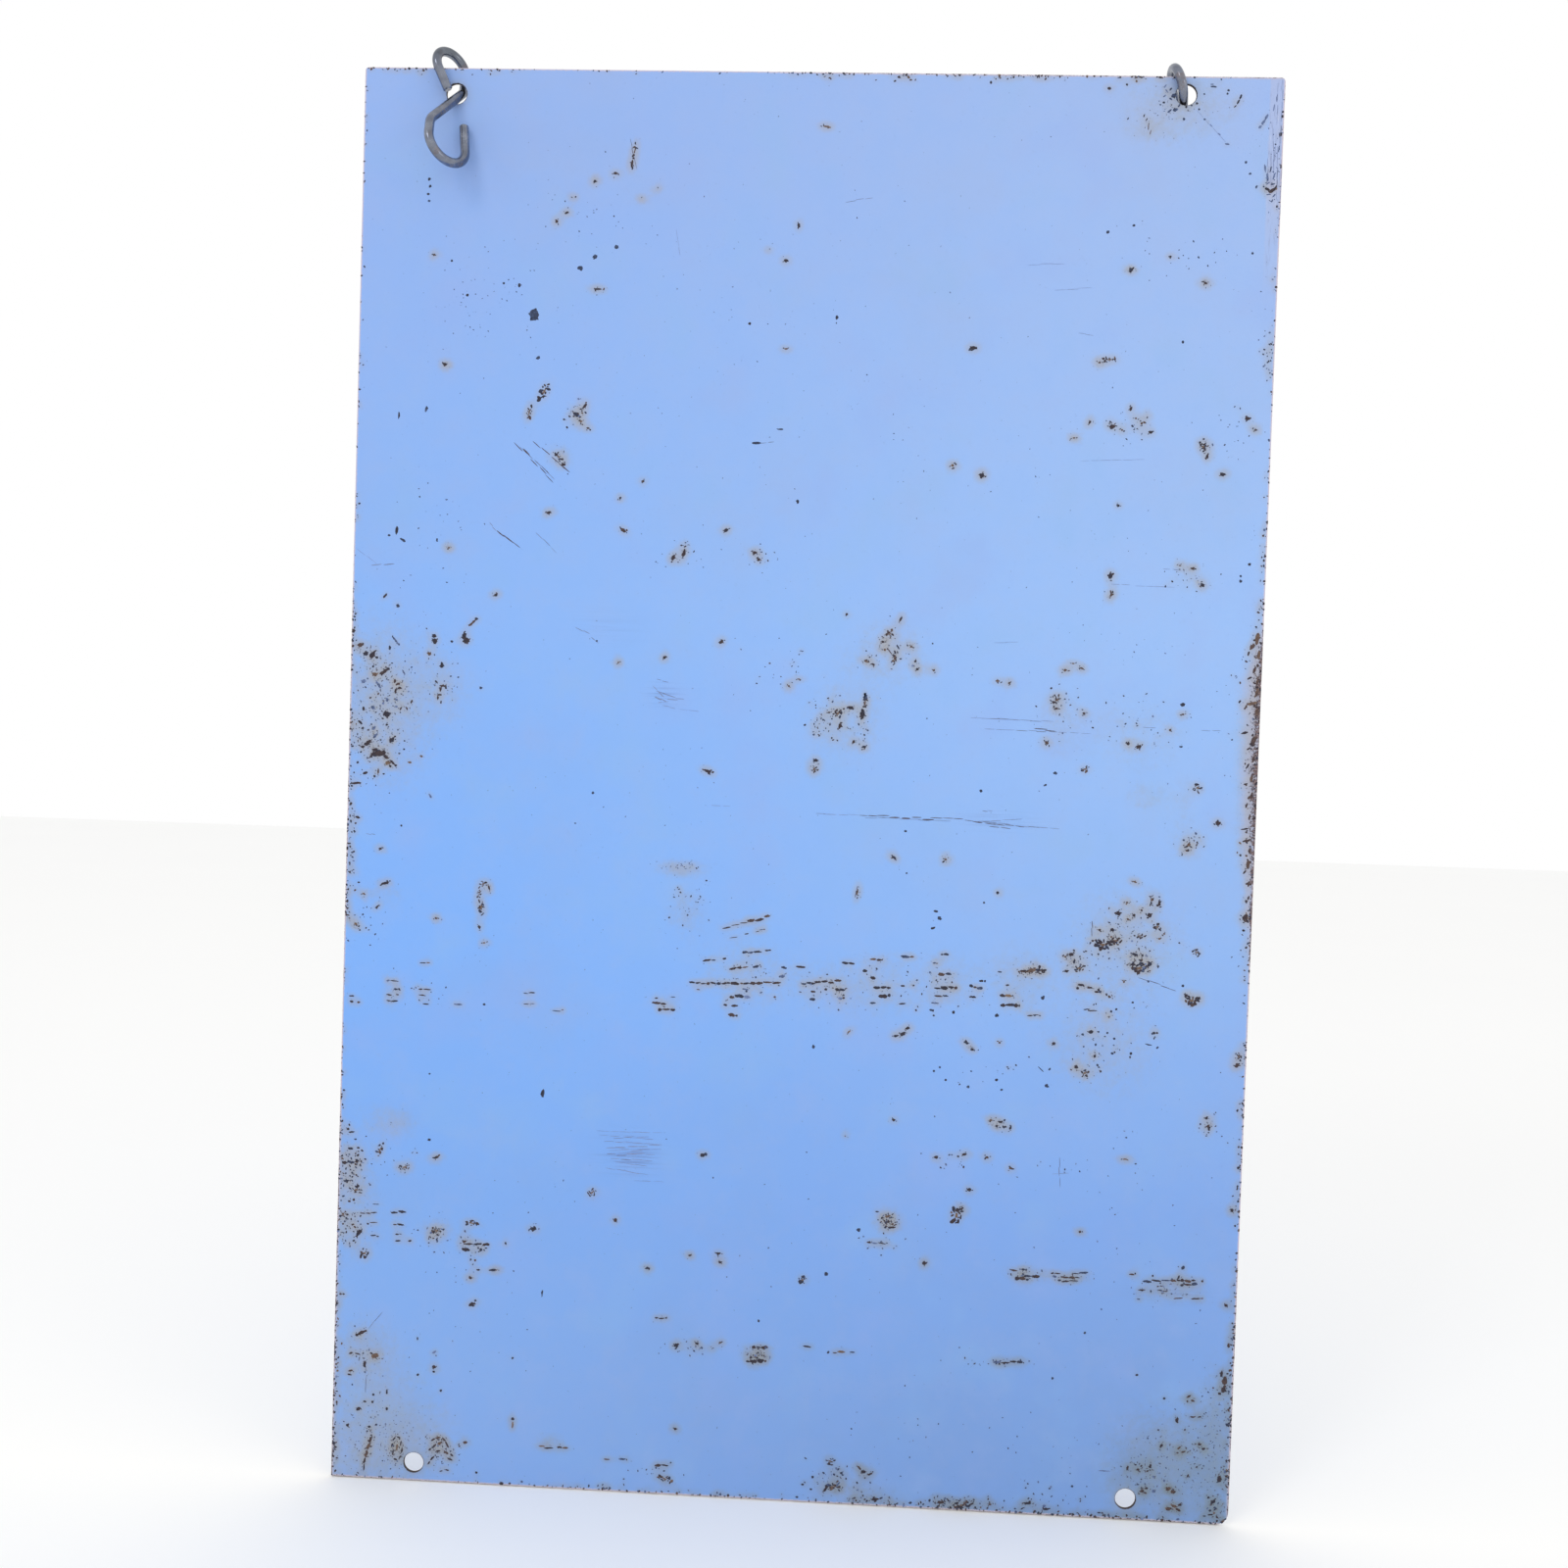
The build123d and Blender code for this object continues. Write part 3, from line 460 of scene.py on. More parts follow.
# %% Scratches: from across, down, to across, down, width, tone from rusty 0 to grey 1
scratches = [
    (525, 450, 565, 492, 2.6, 0.35), (544, 450, 580, 481, 2.4, 0.35),
    (530, 455, 566, 489, 1.2, 0.6), (505, 540, 532, 561, 2.4, 0.5), (499, 534, 506, 541, 1.4, 0.7),
    (547, 543, 568, 564, 1.4, 0.85), (378, 578, 403, 575, 2.4, 0.8), (587, 640, 602, 648, 1.8, 0.7),
    (604, 650, 611, 656, 1.4, 0.8), (905, 660, 916, 676, 2.4, 0.3),
    (1135, 596, 1153, 597, 1.0, 0.9), (1160, 598, 1200, 599, 0.8, 0.9),
    (1007, 733, 1074, 736, 1.3, 0.8), (1005, 744, 1112, 748, 1.3, 0.8),
    (1055, 744, 1078, 746, 2.6, 0.4), (1166, 742, 1180, 743, 1.2, 0.9),
    (990, 732, 1030, 734, 1.0, 0.9), (1226, 745, 1245, 746, 1.0, 0.9),
    (830, 830, 876, 832, 1.2, 0.9), (876, 832, 983, 836, 2.4, 0.55), (884, 834, 972, 838, 1.2, 0.8),
    (983, 836, 1046, 845, 2.2, 0.6), (1000, 838, 1044, 836, 1.3, 0.9),
    (1010, 842, 1034, 845, 2.2, 0.7), (1003, 827, 1012, 828, 1.6, 0.8),
    (1040, 843, 1080, 846, 1.2, 0.9), (992, 838, 1030, 841, 1.2, 0.8),
    (1114, 940, 1115, 955, 1.6, 0.4), (1163, 998, 1202, 1012, 1.4, 0.5),
    (875, 905, 873, 916, 2.0, 0.5), (1081, 1180, 1082, 1213, 1.4, 0.7),
    (1073, 1198, 1090, 1197, 1.0, 0.8), (610, 1154, 676, 1156, 1.0, 1.0),
    (612, 1158, 668, 1163, 1.2, 1.0), (616, 1164, 676, 1168, 1.4, 1.0),
    (618, 1170, 672, 1170, 2.2, 1.0), (620, 1174, 676, 1172, 1.4, 1.0),
    (618, 1178, 668, 1178, 2.4, 1.0), (622, 1182, 664, 1184, 1.6, 1.0),
    (617, 1191, 662, 1199, 1.4, 0.9), (630, 1186, 660, 1190, 1.2, 1.0),
    (646, 1204, 676, 1206, 1.0, 1.0), (626, 1161, 660, 1160, 1.4, 1.0),
    (666, 700, 678, 712, 2.0, 1.0), (667, 705, 690, 712, 2.0, 1.0), (668, 710, 680, 716, 2.8, 0.9),
    (680, 713, 700, 714, 1.8, 0.9), (672, 717, 682, 716, 1.6, 1.0), (670, 693, 682, 696, 1.4, 1.0),
    (675, 720, 690, 723, 1.2, 1.0), (694, 724, 712, 726, 1.0, 1.0), (727, 822, 745, 823, 1.0, 1.0),
    (374, 850, 384, 852, 1.4, 0.9), (1222, 113, 1252, 147, 0.8, 1.0),
    (1304, 84, 1303, 128, 1.2, 1.0), (1309, 90, 1306, 150, 1.4, 0.9),
    (1299, 132, 1300, 186, 1.2, 0.9), (1294, 160, 1293, 190, 1.6, 0.8),
    (1304, 150, 1302, 205, 1.4, 0.9), (1308, 160, 1305, 230, 1.2, 1.0),
    (375, 1357, 390, 1339, 1.1, 0.6), (373.5, 1394, 373, 1422, 1.0, 0.5),
    (1186, 580, 1205, 582, 1.0, 0.9), (1016, 656, 1040, 655, 0.8, 1.0),
    (864, 206, 892, 202, 1.4, 0.9), (1048, 270, 1086, 269, 0.9, 1.0),
    (1076, 296, 1112, 294, 0.9, 1.0), (1102, 470, 1166, 469, 0.8, 1.0),
    (690, 233, 694, 262, 0.8, 1.0), (642, 140, 650, 172, 1.2, 0.4), (776, 452, 790, 451, 1.2, 0.9),
    (1100, 340, 1116, 342, 1.0, 0.9), (364, 560, 384, 575, 0.9, 1.0),
]
print(len(scratches), "scratches")

# %% Patches of specks: across, down, spread across, spread down, count, size, tone
speck_patches = [
    (392, 715, 40, 74, 110, 1.9, 0.4), (372, 760, 14, 50, 40, 2.0, 0.4),
    (450, 690, 26, 40, 14, 1.6, 0.6), (420, 660, 40, 20, 8, 1.6, 0.6),
    (360, 850, 5, 90, 26, 2.6, 0.2), (1150, 958, 34, 30, 30, 2.4, 0.2),
    (1108, 976, 26, 18, 16, 2.4, 0.2), (1130, 1050, 50, 50, 26, 2.2, 0.4),
    (1168, 985, 18, 16, 26, 3.0, 0.1), (1010, 1085, 50, 30, 14, 2.0, 0.4),
    (1105, 1095, 22, 18, 10, 2.2, 0.2), (906, 664, 26, 20, 18, 2.2, 0.3),
    (856, 733, 22, 22, 24, 2.4, 0.2), (800, 682, 50, 26, 22, 2.0, 0.3),
    (836, 735, 10, 30, 20, 2.4, 0.2), (880, 745, 6, 24, 14, 2.2, 0.2),
    (1076, 722, 30, 34, 24, 2.2, 0.3), (1160, 745, 44, 40, 26, 2.2, 0.3),
    (1213, 862, 16, 12, 20, 2.4, 0.2), (1150, 437, 24, 16, 22, 2.4, 0.4),
    (1228, 458, 10, 10, 14, 2.4, 0.2), (1260, 440, 24, 30, 18, 2.0, 0.4),
    (1210, 590, 24, 14, 20, 2.2, 0.3), (500, 300, 60, 60, 60, 1.6, 0.9),
    (600, 220, 50, 50, 30, 1.8, 0.7), (590, 425, 14, 14, 18, 2.4, 0.2),
    (700, 566, 30, 16, 20, 2.2, 0.3), (780, 568, 16, 14, 14, 2.2, 0.3),
    (440, 540, 50, 60, 20, 1.8, 0.7), (1200, 262, 50, 30, 20, 2.0, 0.5),
    (1198, 104, 26, 18, 16, 1.5, 0.8), (1299, 170, 9, 50, 34, 1.7, 0.9),
    (1294, 360, 8, 30, 26, 2.2, 0.4), (1284, 720, 60, 90, 30, 1.8, 0.5),
    (700, 925, 18, 22, 26, 2.2, 0.3), (694, 884, 24, 6, 30, 1.6, 0.7),
    (380, 930, 20, 30, 18, 2.2, 0.4), (850, 1010, 40, 24, 30, 2.2, 0.2),
    (950, 1005, 40, 26, 26, 2.2, 0.2), (760, 1000, 44, 26, 26, 2.2, 0.2),
    (430, 1010, 30, 20, 14, 2.0, 0.4), (360, 1190, 14, 40, 50, 2.8, 0.2),
    (400, 1180, 30, 20, 14, 2.2, 0.3), (360, 1255, 14, 26, 36, 2.8, 0.2),
    (440, 1262, 30, 14, 22, 2.4, 0.3), (484, 1280, 18, 16, 16, 2.4, 0.3),
    (370, 1385, 22, 34, 16, 1.8, 0.5), (385, 1455, 26, 34, 30, 1.8, 0.5),
    (404, 1478, 12, 20, 34, 1.8, 0.3), (449, 1480, 18, 20, 50, 1.9, 0.3),
    (660, 1500, 30, 10, 16, 2.2, 0.4), (772, 1382, 12, 8, 26, 2.4, 0.1),
    (700, 1374, 30, 8, 18, 2.2, 0.3), (850, 1510, 40, 18, 36, 2.6, 0.2),
    (885, 1528, 26, 10, 22, 2.2, 0.3), (980, 1532, 40, 6, 30, 2.4, 0.2),
    (1060, 1525, 60, 18, 26, 2.0, 0.4), (1185, 1490, 46, 44, 26, 1.8, 0.6),
    (1232, 1440, 14, 70, 26, 1.8, 0.5), (1165, 1518, 20, 14, 10, 1.8, 0.5),
    (1190, 1315, 30, 12, 30, 2.0, 0.3), (1045, 1300, 16, 6, 20, 2.4, 0.2),
    (906, 1246, 10, 10, 26, 2.4, 0.1), (900, 1270, 20, 14, 16, 2.0, 0.3),
    (1235, 1150, 12, 16, 20, 2.2, 0.3), (1080, 1190, 50, 20, 12, 1.8, 0.6),
    (1020, 1150, 16, 8, 10, 2.2, 0.4), (1020, 1389, 30, 4, 20, 2.2, 0.2),
    (970, 1185, 26, 14, 14, 2.2, 0.3), (800, 1300, 300, 120, 40, 1.6, 0.7),
    (800, 400, 260, 240, 60, 1.6, 0.8), (1050, 600, 200, 250, 50, 1.6, 0.7),
    (620, 800, 180, 250, 30, 1.5, 0.8), (1150, 1250, 90, 200, 40, 1.8, 0.6),
    (500, 1300, 100, 160, 40, 1.8, 0.6), (1000, 1480, 200, 50, 40, 1.8, 0.6),
]
print(sum(patch[4] for patch in speck_patches), "specks in", len(speck_patches), "patches")

# %% [markdown]
# ## Stains and scuffs
# Rust doesn't stop at its chip. Rain carries it into the paint round about, where it leaves
# a cream or greenish haze, and grease and rubbing leave grey patches. These have no edges,
# so each is only a middle, a spread and a strength, and they will be painted as numbers on
# the sheet's own points.

# %% Stains and scuffs: across, down, spread across, spread down, strength
stains = [
    (392, 718, 54, 86, 0.75), (1125, 1070, 60, 56, 0.5), (1150, 960, 60, 56, 0.6),
    (1185, 1495, 60, 60, 0.8), (1147, 1512, 18, 14, 0.4), (1150, 1546, 12, 6, 0.7),
    (1238, 1480, 20, 80, 0.8), (695, 886, 24, 8, 1.0), (700, 930, 22, 26, 0.5),
    (862, 735, 46, 46, 0.5), (1172, 132, 20, 14, 0.4), (1190, 112, 46, 34, 0.5),
    (1240, 110, 44, 40, 0.3), (405, 1465, 60, 56, 0.7), (368, 1480, 40, 66, 0.45),
    (380, 1390, 44, 44, 0.35), (404, 1145, 26, 18, 0.6), (446, 1255, 18, 12, 0.7),
    (483, 1274, 16, 12, 0.6), (772, 1382, 16, 12, 0.9), (1280, 780, 18, 130, 0.7),
    (563, 1472, 18, 10, 0.6), (888, 1528, 34, 16, 0.6), (1195, 1318, 38, 13, 0.6),
    (1160, 750, 60, 46, 0.35), (1078, 740, 26, 36, 0.35), (1213, 860, 20, 18, 0.5),
    (906, 664, 46, 36, 0.45), (1215, 590, 26, 16, 0.4), (450, 700, 40, 40, 0.4),
    (362, 1215, 30, 80, 0.5), (372, 1375, 26, 30, 0.5), (906, 1246, 18, 16, 0.6),
    (1045, 1300, 22, 10, 0.6), (1092, 1303, 24, 8, 0.6), (570, 466, 12, 12, 0.8),
    (590, 425, 14, 16, 0.5), (400, 1012, 12, 26, 0.5), (432, 1014, 12, 16, 0.4),
    (763, 995, 54, 40, 0.45), (850, 1008, 40, 30, 0.45), (900, 1004, 34, 36, 0.45),
    (964, 1002, 34, 36, 0.5), (1040, 1000, 40, 36, 0.5), (680, 1025, 14, 14, 0.5),
    (985, 1533, 40, 8, 0.6), (850, 1512, 22, 14, 0.5), (457, 372, 8, 6, 0.6),
    (1154, 276, 10, 8, 0.6), (390, 912, 26, 16, 0.4), (1210, 820, 14, 24, 0.35),
    (1170, 815, 22, 16, 0.4),
]
scuffs = [
    (643, 1178, 26, 16, 1.0), (678, 710, 14, 10, 0.7), (1282, 790, 8, 100, 0.6),
    (1022, 838, 30, 6, 0.7), (1190, 1320, 34, 10, 0.4), (620, 640, 30, 16, 0.15),
]
print(len(stains), "stains,", len(scuffs), "scuffs")

# %% [markdown]
# ## From marks to flakes
# Seen close up, few of these chips are whole. Rust lifts the paint from below, the middle
# breaks out, and what is left is a dark ragged spot with crumbs at its rim, or only the
# crumbs with a warmer brown floor between. So a chip isn't drawn as one shape: it becomes a
# middle and a broken ring, and the largest become a knot of lumps. Dashes break into short
# strokes, and patches into specks. All of them end up in two lists: flakes, which are built
# as geometry, and halos, the stained paint round them.

# %% Spots of rust, rings of crumbs, and the stain round them
dice = random.Random(7)
bleed = 3.8  # photo pixels
smallest_crumb = 1.2
flakes = []
halos = []


def add_flake(place, long, wide, turn, shade):
    """One spot of rust on the sheet, sized in photo pixels, its shade 0 warm to 1 slate."""
    flakes.append((*place, long * pixel, wide * pixel, math.radians(turn), min(max(shade, 0), 1)))


def add_halo(place, long, wide, turn, strength):
    """The stained paint round a spot, reaching a little past its own size."""
    reach = [(side / 2 + bleed) * pixel for side in (long, wide)]
    halos.append((*place, *reach, math.radians(turn), strength))


def add_crumbs(across, down, long, wide, turn, shade, count, smallest, largest):
    """Crumbs in a broken ring along the rim of a spot."""
    lean = math.radians(turn)
    for crumb in range(count):
        around = 2 * math.pi * (crumb + dice.uniform(-0.4, 0.4)) / count
        out = dice.uniform(0.34, 0.54)
        along, beside = out * long * math.cos(around), out * wide * math.sin(around)
        place = on_sheet(across + along * math.cos(lean) - beside * math.sin(lean),
                         down - along * math.sin(lean) - beside * math.cos(lean))
        size = max(math.sqrt(long * wide) * dice.uniform(smallest, largest), smallest_crumb)
        add_flake(place, size * dice.uniform(1.0, 1.9), size * dice.uniform(0.55, 1.0),
                  turn + dice.gauss(0, 50), dice.gauss(shade, 0.14))


print("a stain reaches", round(bleed * pixel / MM, 1), "mm past its spot")

# %% Lay every chip, spot and nick
lumpy_area, floored_area, crumbly_area = 55, 16, 18  # square photo pixels
area_per_crumb, most_crumbs = 12, 10


def lay_chip(across, down, long, wide, turn):
    """A chip from the lists: lumps, a dark middle or a warm floor, with crumbs round it."""
    place = on_sheet(across, down)
    if long * wide > lumpy_area:
        add_crumbs(across, down, long * 0.6, wide * 0.6, turn, 0.4, 5, 0.25, 0.5)
        add_flake(place, long * 0.4, wide * 0.3, turn, 0.1)
    elif dice.random() < 0.6:
        add_flake(place, long * 0.78, wide * 0.78, turn, dice.uniform(0.35, 0.65))
    elif long * wide > floored_area:
        add_flake(place, long * 0.55, wide * 0.55, turn, dice.uniform(0.1, 0.4))
    crumbs = min(max(round(long * wide / area_per_crumb), 1), most_crumbs)
    add_crumbs(across, down, long, wide, turn, 0.5, crumbs, 0.16, 0.4)
    add_halo(place, long, wide, turn, dice.uniform(0.4, 0.8))


for across, down, long, wide, turn in upper_chips + left_chips + right_chips:
    lay_chip(across, down, long, wide, turn)
busiest = left_patch + upper_right + lower_right + lower_left + right_crust
for across, down, long, wide, turn, shade, strength in busiest:
    add_flake(on_sheet(across, down), long, wide, turn, shade)
    if long * wide > crumbly_area:
        add_crumbs(across, down, long, wide, turn, shade, 3, 0.2, 0.4)
    add_halo(on_sheet(across, down), long, wide, turn, strength * 0.8)
for across, down, long, wide, turn in dark_nicks:
    add_flake(on_sheet(across, down), long * 0.9, wide * 0.9, turn, dice.uniform(0.55, 0.8))
print(len(flakes), "spots, crumbs and nicks")

# %% Break rows into strokes and patches into specks
shortest_dash, longest_dash = 3, 10
stained_speck = 2
for left, right, down, thick, share, rise in dash_rows:
    at = left
    while at < right - 1:
        long = min(dice.uniform(shortest_dash, longest_dash), right - at)
        if dice.random() < share:
            lift = (at - left) * math.tan(math.radians(rise))
            place = on_sheet(at + long / 2, down - lift + dice.uniform(-0.7, 0.7))
            wide = thick * dice.uniform(0.4, 0.95)
            add_flake(place, long * 1.15, wide, rise + dice.uniform(-8, 8), dice.gauss(0.55, 0.18))
            add_halo(place, long, wide, rise, dice.uniform(0.25, 0.45))
        at += long

for across, down, spread_across, spread_down, count, size, shade in speck_patches:
    for _ in range(count):
        long = size * dice.uniform(0.45, 1.4)
        beside, below = dice.gauss(across, spread_across / 2), dice.gauss(down, spread_down / 2)
        place = on_sheet(beside, below)
        add_flake(place, long, long * dice.uniform(0.45, 0.85), dice.uniform(0, 180),
                  dice.gauss(0.55 + 0.4 * shade, 0.16))
        if long > stained_speck:
            add_halo(place, long, long, 0, 0.25 * (1 - shade))
print(len(flakes), "flakes so far")

# %% [markdown]
# ## Crumbs of rust along the edges
# Paint is thinnest on a sheared edge, so crumbs of rust line the whole rim, thickest at the
# foot and round the crust on the right. There are far too many to write down, and no one
# looks at them singly. So each run says which edge it follows, from where to where, how many
# crumbs it has, how far in they reach and how big they are, and chance places each one.

# %% Rust along the edges: side, from, to, count, depth, size, shade
edge_runs = [
    ("left", 0.00, 1.00, 130, 1.2, 2.4, 0.6), ("right", 0.00, 1.00, 110, 1.4, 2.6, 0.6),
    ("top", 0.00, 1.00, 80, 1.0, 2.4, 0.6), ("bottom", 0.00, 1.00, 90, 1.2, 2.6, 0.6),
    ("right", 0.44, 0.62, 50, 5.0, 3.2, 0.35), ("right", 0.46, 0.60, 36, 9, 2.4, 0.5),
    ("right", 0.38, 0.44, 34, 3.6, 2.6, 0.5), ("right", 0.62, 0.70, 30, 2.0, 2.6, 0.5),
    ("right", 0.80, 0.98, 22, 3.2, 1.7, 0.9), ("left", 0.00, 0.28, 120, 2.0, 2.8, 0.5),
    ("left", 0.40, 0.62, 70, 2.2, 2.8, 0.5), ("top", 0.48, 0.72, 36, 2.0, 3.0, 0.35),
    ("top", 0.72, 0.90, 26, 1.6, 2.6, 0.4), ("top", 0.00, 0.10, 16, 1.8, 2.8, 0.5),
    ("bottom", 0.62, 1.00, 110, 1.8, 3.0, 0.5), ("bottom", 0.20, 0.60, 40, 1.6, 2.8, 0.55),
    ("right", 0.00, 0.14, 80, 2.4, 3.0, 0.5), ("right", 0.14, 0.34, 60, 1.8, 2.6, 0.55),
]
rim_pixels, edge_stain = 0.8, 0.16
for side, from_share, to_share, count, depth, size, shade in edge_runs:
    for _ in range(count):
        share = dice.uniform(from_share, to_share)
        deep = (dice.expovariate(1 / depth) + rim_pixels) * pixel
        place = {
            "left": (deep - half_width, share * sheet_height),
            "right": (half_width - deep, share * sheet_height),
            "top": ((share * 2 - 1) * half_width, sheet_height - deep),
            "bottom": ((share * 2 - 1) * half_width, deep),
        }[side]
        long = size * dice.uniform(0.5, 1.4)
        add_flake(place, long, long * dice.uniform(0.4, 0.8), dice.uniform(0, 180),
                  dice.gauss(shade, 0.18))
        add_halo(place, long, long, 0, edge_stain)
print(len(flakes), "flakes with the edges,", len(halos), "halos")

# %% [markdown]
# ## The sheet, rebuilt with points to paint on
# The measured sheet is exact, but its front is one big face with points only at its rim, and
# numbers painted on points need points. A grid would do for a plain rectangle. This sheet has
# four round holes, so its front is a constrained Delaunay triangulation: the outline and the
# holes are given as fixed loops, a grid of points fills the middle, and the triangulator
# joins them all without bridging a hole. It also lets the points lie close together where
# the wear is, and further apart on sound paint. The back gets a coarse filling only.

# %% The sizes of the corners and the holes
corner_radius = {
    "bottom_left": 0.6 * MM,
    "bottom_right": 4.6 * MM,
    "top_right": 1.6 * MM,
    "top_left": 1.4 * MM,
}
sharpest = 0.05 * MM
rollover = 0.3 * MM
corner_steps = 6
rim_step = 1.6 * MM
steps_at_once = 10
hole_radius = 3.97 * MM
hole_steps = 48
holes = {
    "top_left": (36.5 * MM - half_width, sheet_height - 10.0 * MM),
    "top_right": (half_width - 37.2 * MM, sheet_height - 7.0 * MM),
    "bottom_left": (33.4 * MM - half_width, 7.2 * MM),
    "bottom_right": (half_width - 40.0 * MM, 8.2 * MM),
}
print(len(holes), "holes of", round(hole_radius * 2 / MM, 2), "mm")

# %% The outline and each hole as a closed ring
def outline(inset):
    """The sheet's outline, drawn in by the inset, as one closed ring of (x, z) points.

    Its steps are counted in tens, so that every inset gives as many points.
    """
    corners = (
        (-1, 0, corner_radius["bottom_left"], math.pi),
        (1, 0, corner_radius["bottom_right"], 1.5 * math.pi),
        (1, 1, corner_radius["top_right"], 0),
        (-1, 1, corner_radius["top_left"], 0.5 * math.pi),
    )
    arcs = []
    for side, end, radius, start in corners:
        middle_x = side * (half_width - radius)
        middle_z = sheet_height - radius if end else radius
        turns = [start + math.pi / 2 * step / corner_steps for step in range(corner_steps + 1)]
        kept = max(radius - inset, sharpest)
        shift = radius - inset - kept
        arcs.append([
            (middle_x + kept * math.cos(turn) + side * shift,
             middle_z + kept * math.sin(turn) + (shift if end else -shift))
            for turn in turns
        ])
    ring = []
    for arc, following in zip(arcs, arcs[1:] + arcs[:1]):
        ring += arc
        start, stop = arc[-1], following[0]
        run_x, run_z = stop[0] - start[0], stop[1] - start[1]
        longest = max(abs(run_x), abs(run_z))
        parts = round(longest / rim_step / steps_at_once) * steps_at_once
        ring += [
            (start[0] + run_x * part / parts, start[1] + run_z * part / parts)
            for part in range(1, parts)
        ]
    return ring


def round_loop(middle, radius):
    """A hole's rim as a ring of (x, z) points."""
    turns = [2 * math.pi * step / hole_steps for step in range(hole_steps)]
    return [
        (middle[0] + radius * math.cos(turn), middle[1] + radius * math.sin(turn))
        for turn in turns
    ]


print(len(outline(0)), len(outline(rollover)), "points round the outline")

# %% Which points fill the sheet
fine_step = 0.9 * MM
steps_on_sound_paint = 3
beyond_halo = 0.2 * MM


def near_wear(across, up):
    """Which crossings of a lattice lie in or beside the stained paint round a flake."""
    near = np.zeros((len(up), len(across)), bool)
    for x, z, long, wide, *_ in halos:
        reach = max(long, wide) * 0.85 + beyond_halo
        columns = np.searchsorted(across, (x - reach, x + reach))
        rows = np.searchsorted(up, (z - reach, z + reach))
        near[rows[0]:rows[1], columns[0]:columns[1]] = True
    return near


def filling(step, inset, rim_gap, hole_gap, coarser=1):
    """Grid points inside the sheet that keep a gap to its rim and holes."""
    across = np.arange(-half_width + inset + rim_gap, half_width - inset - rim_gap, step)
    up = np.arange(inset + rim_gap, sheet_height - inset - rim_gap, step)
    kept = np.zeros((len(up), len(across)), bool)
    kept[::coarser, ::coarser] = True
    if coarser > 1:
        kept |= near_wear(across, up)
    grid = np.stack(np.meshgrid(across, up), axis=-1)[kept]
    for middle in holes.values():
        grid = grid[np.hypot(*(grid - middle).T) > hole_radius + hole_gap]
    cut_corner = (half_width - grid[:, 0]) + grid[:, 1] < corner_radius["bottom_right"]
    return [tuple(point) for point in grid[~cut_corner]]


print(f"points {fine_step / MM:.1f} mm apart by the wear, and further apart elsewhere")

# %% Triangles between the rim and the holes
same_point = 1e-7
inside_only = 1


def filled(rim, hole_edge, points):
    """Triangles between a rim and its holes: all the points, and the faces by their numbers."""
    loops = [rim] + [round_loop(middle, hole_edge) for middle in holes.values()]
    flat, edges = [], []
    for loop in loops:
        first = len(flat)
        flat += loop
        edges += [(first + i, first + (i + 1) % len(loop)) for i in range(len(loop))]
    flat += points
    vectors = [Vector(point) for point in flat]
    outer = [list(range(len(rim)))]
    made, _, faces, sources, _, _ = delaunay_2d_cdt(
        vectors, edges[len(rim):], outer, inside_only, same_point
    )
    number = [source[0] for source in sources]
    kept = []
    for face in faces:
        middle = sum((made[corner] for corner in face), Vector((0, 0))) / len(face)
        open_air = hole_edge * math.cos(math.pi / hole_steps)
        if all((middle - Vector(hole)).length > open_air for hole in holes.values()):
            kept.append([number[corner] for corner in face])
    return flat, kept


print(len(filled(outline(0), hole_radius, [])[1]), "faces join the rim and the holes alone")

# %% Fill the front and the back
clear_of_rim = 1.3 * MM
nearby_rings = (0.7 * MM, 1.6 * MM, 2.8 * MM)
clear_of_rings = nearby_rings[-1] + 0.8 * MM
rings_end = 1 * MM
back_grid_step = 9 * MM
clear_behind = 2 * MM
burr = 0.15 * MM
points, faces = [], []


def add_layer(flat, depth):
    """Adds (x, z) points at one depth, and says where they start."""
    first = len(points)
    points.extend((x, depth, z) for x, z in flat)
    return first


def bridge(first, second, count):
    """A band of quads between two rings of as many points."""
    for i in range(count):
        j = (i + 1) % count
        faces.append([first + i, first + j, second + j, second + i])


ring_points = [point for gap in nearby_rings for middle in holes.values()
               for point in round_loop(middle, hole_radius + gap)]
inner = filling(fine_step, rollover, clear_of_rim, clear_of_rings, steps_on_sound_paint)
inner += [point for point in ring_points if rings_end < point[1] < sheet_height - rings_end]
flat, made = filled(outline(rollover), hole_radius + burr, inner)
front_start = add_layer(flat, front_face)
faces += made
front_count = len(flat)
coarse = filling(back_grid_step, 0, clear_behind, clear_behind)
flat, made = filled(outline(0), hole_radius, coarse)
back_start = add_layer(flat, half_thickness)
faces += [[corner + back_start for corner in face] for face in made]
print(front_count, "points in front,", len(points) - front_count, "behind")

# %% [markdown]
# ## The rolled edge, and the walls of the holes
# Shears and punches press the front of the steel down a little before they cut, so a small
# rounding runs all round the front edge, and a smaller one round each hole. A bevel modifier
# could make it, but the rings are at hand already. Bands of quads between rings at three
# depths round the edge, line the holes and close the sheet, so that it has no open edge.

# %% The rolled front edge and the walls of the holes
rim_count = len(outline(0))
eased = rollover * (1 - math.sqrt(0.5))
middle_ring = add_layer(outline(eased), front_face + eased)
outer_ring = add_layer(outline(0), front_face + rollover)
bridge(front_start, middle_ring, rim_count)
bridge(middle_ring, outer_ring, rim_count)
bridge(outer_ring, back_start, rim_count)
for index, middle in enumerate(holes.values()):
    shoulder = add_layer(round_loop(middle, hole_radius), front_face + burr)
    offset = rim_count + index * hole_steps
    bridge(front_start + offset, shoulder, hole_steps)
    bridge(shoulder, back_start + offset, hole_steps)
print(len(points), "points,", len(faces), "faces")

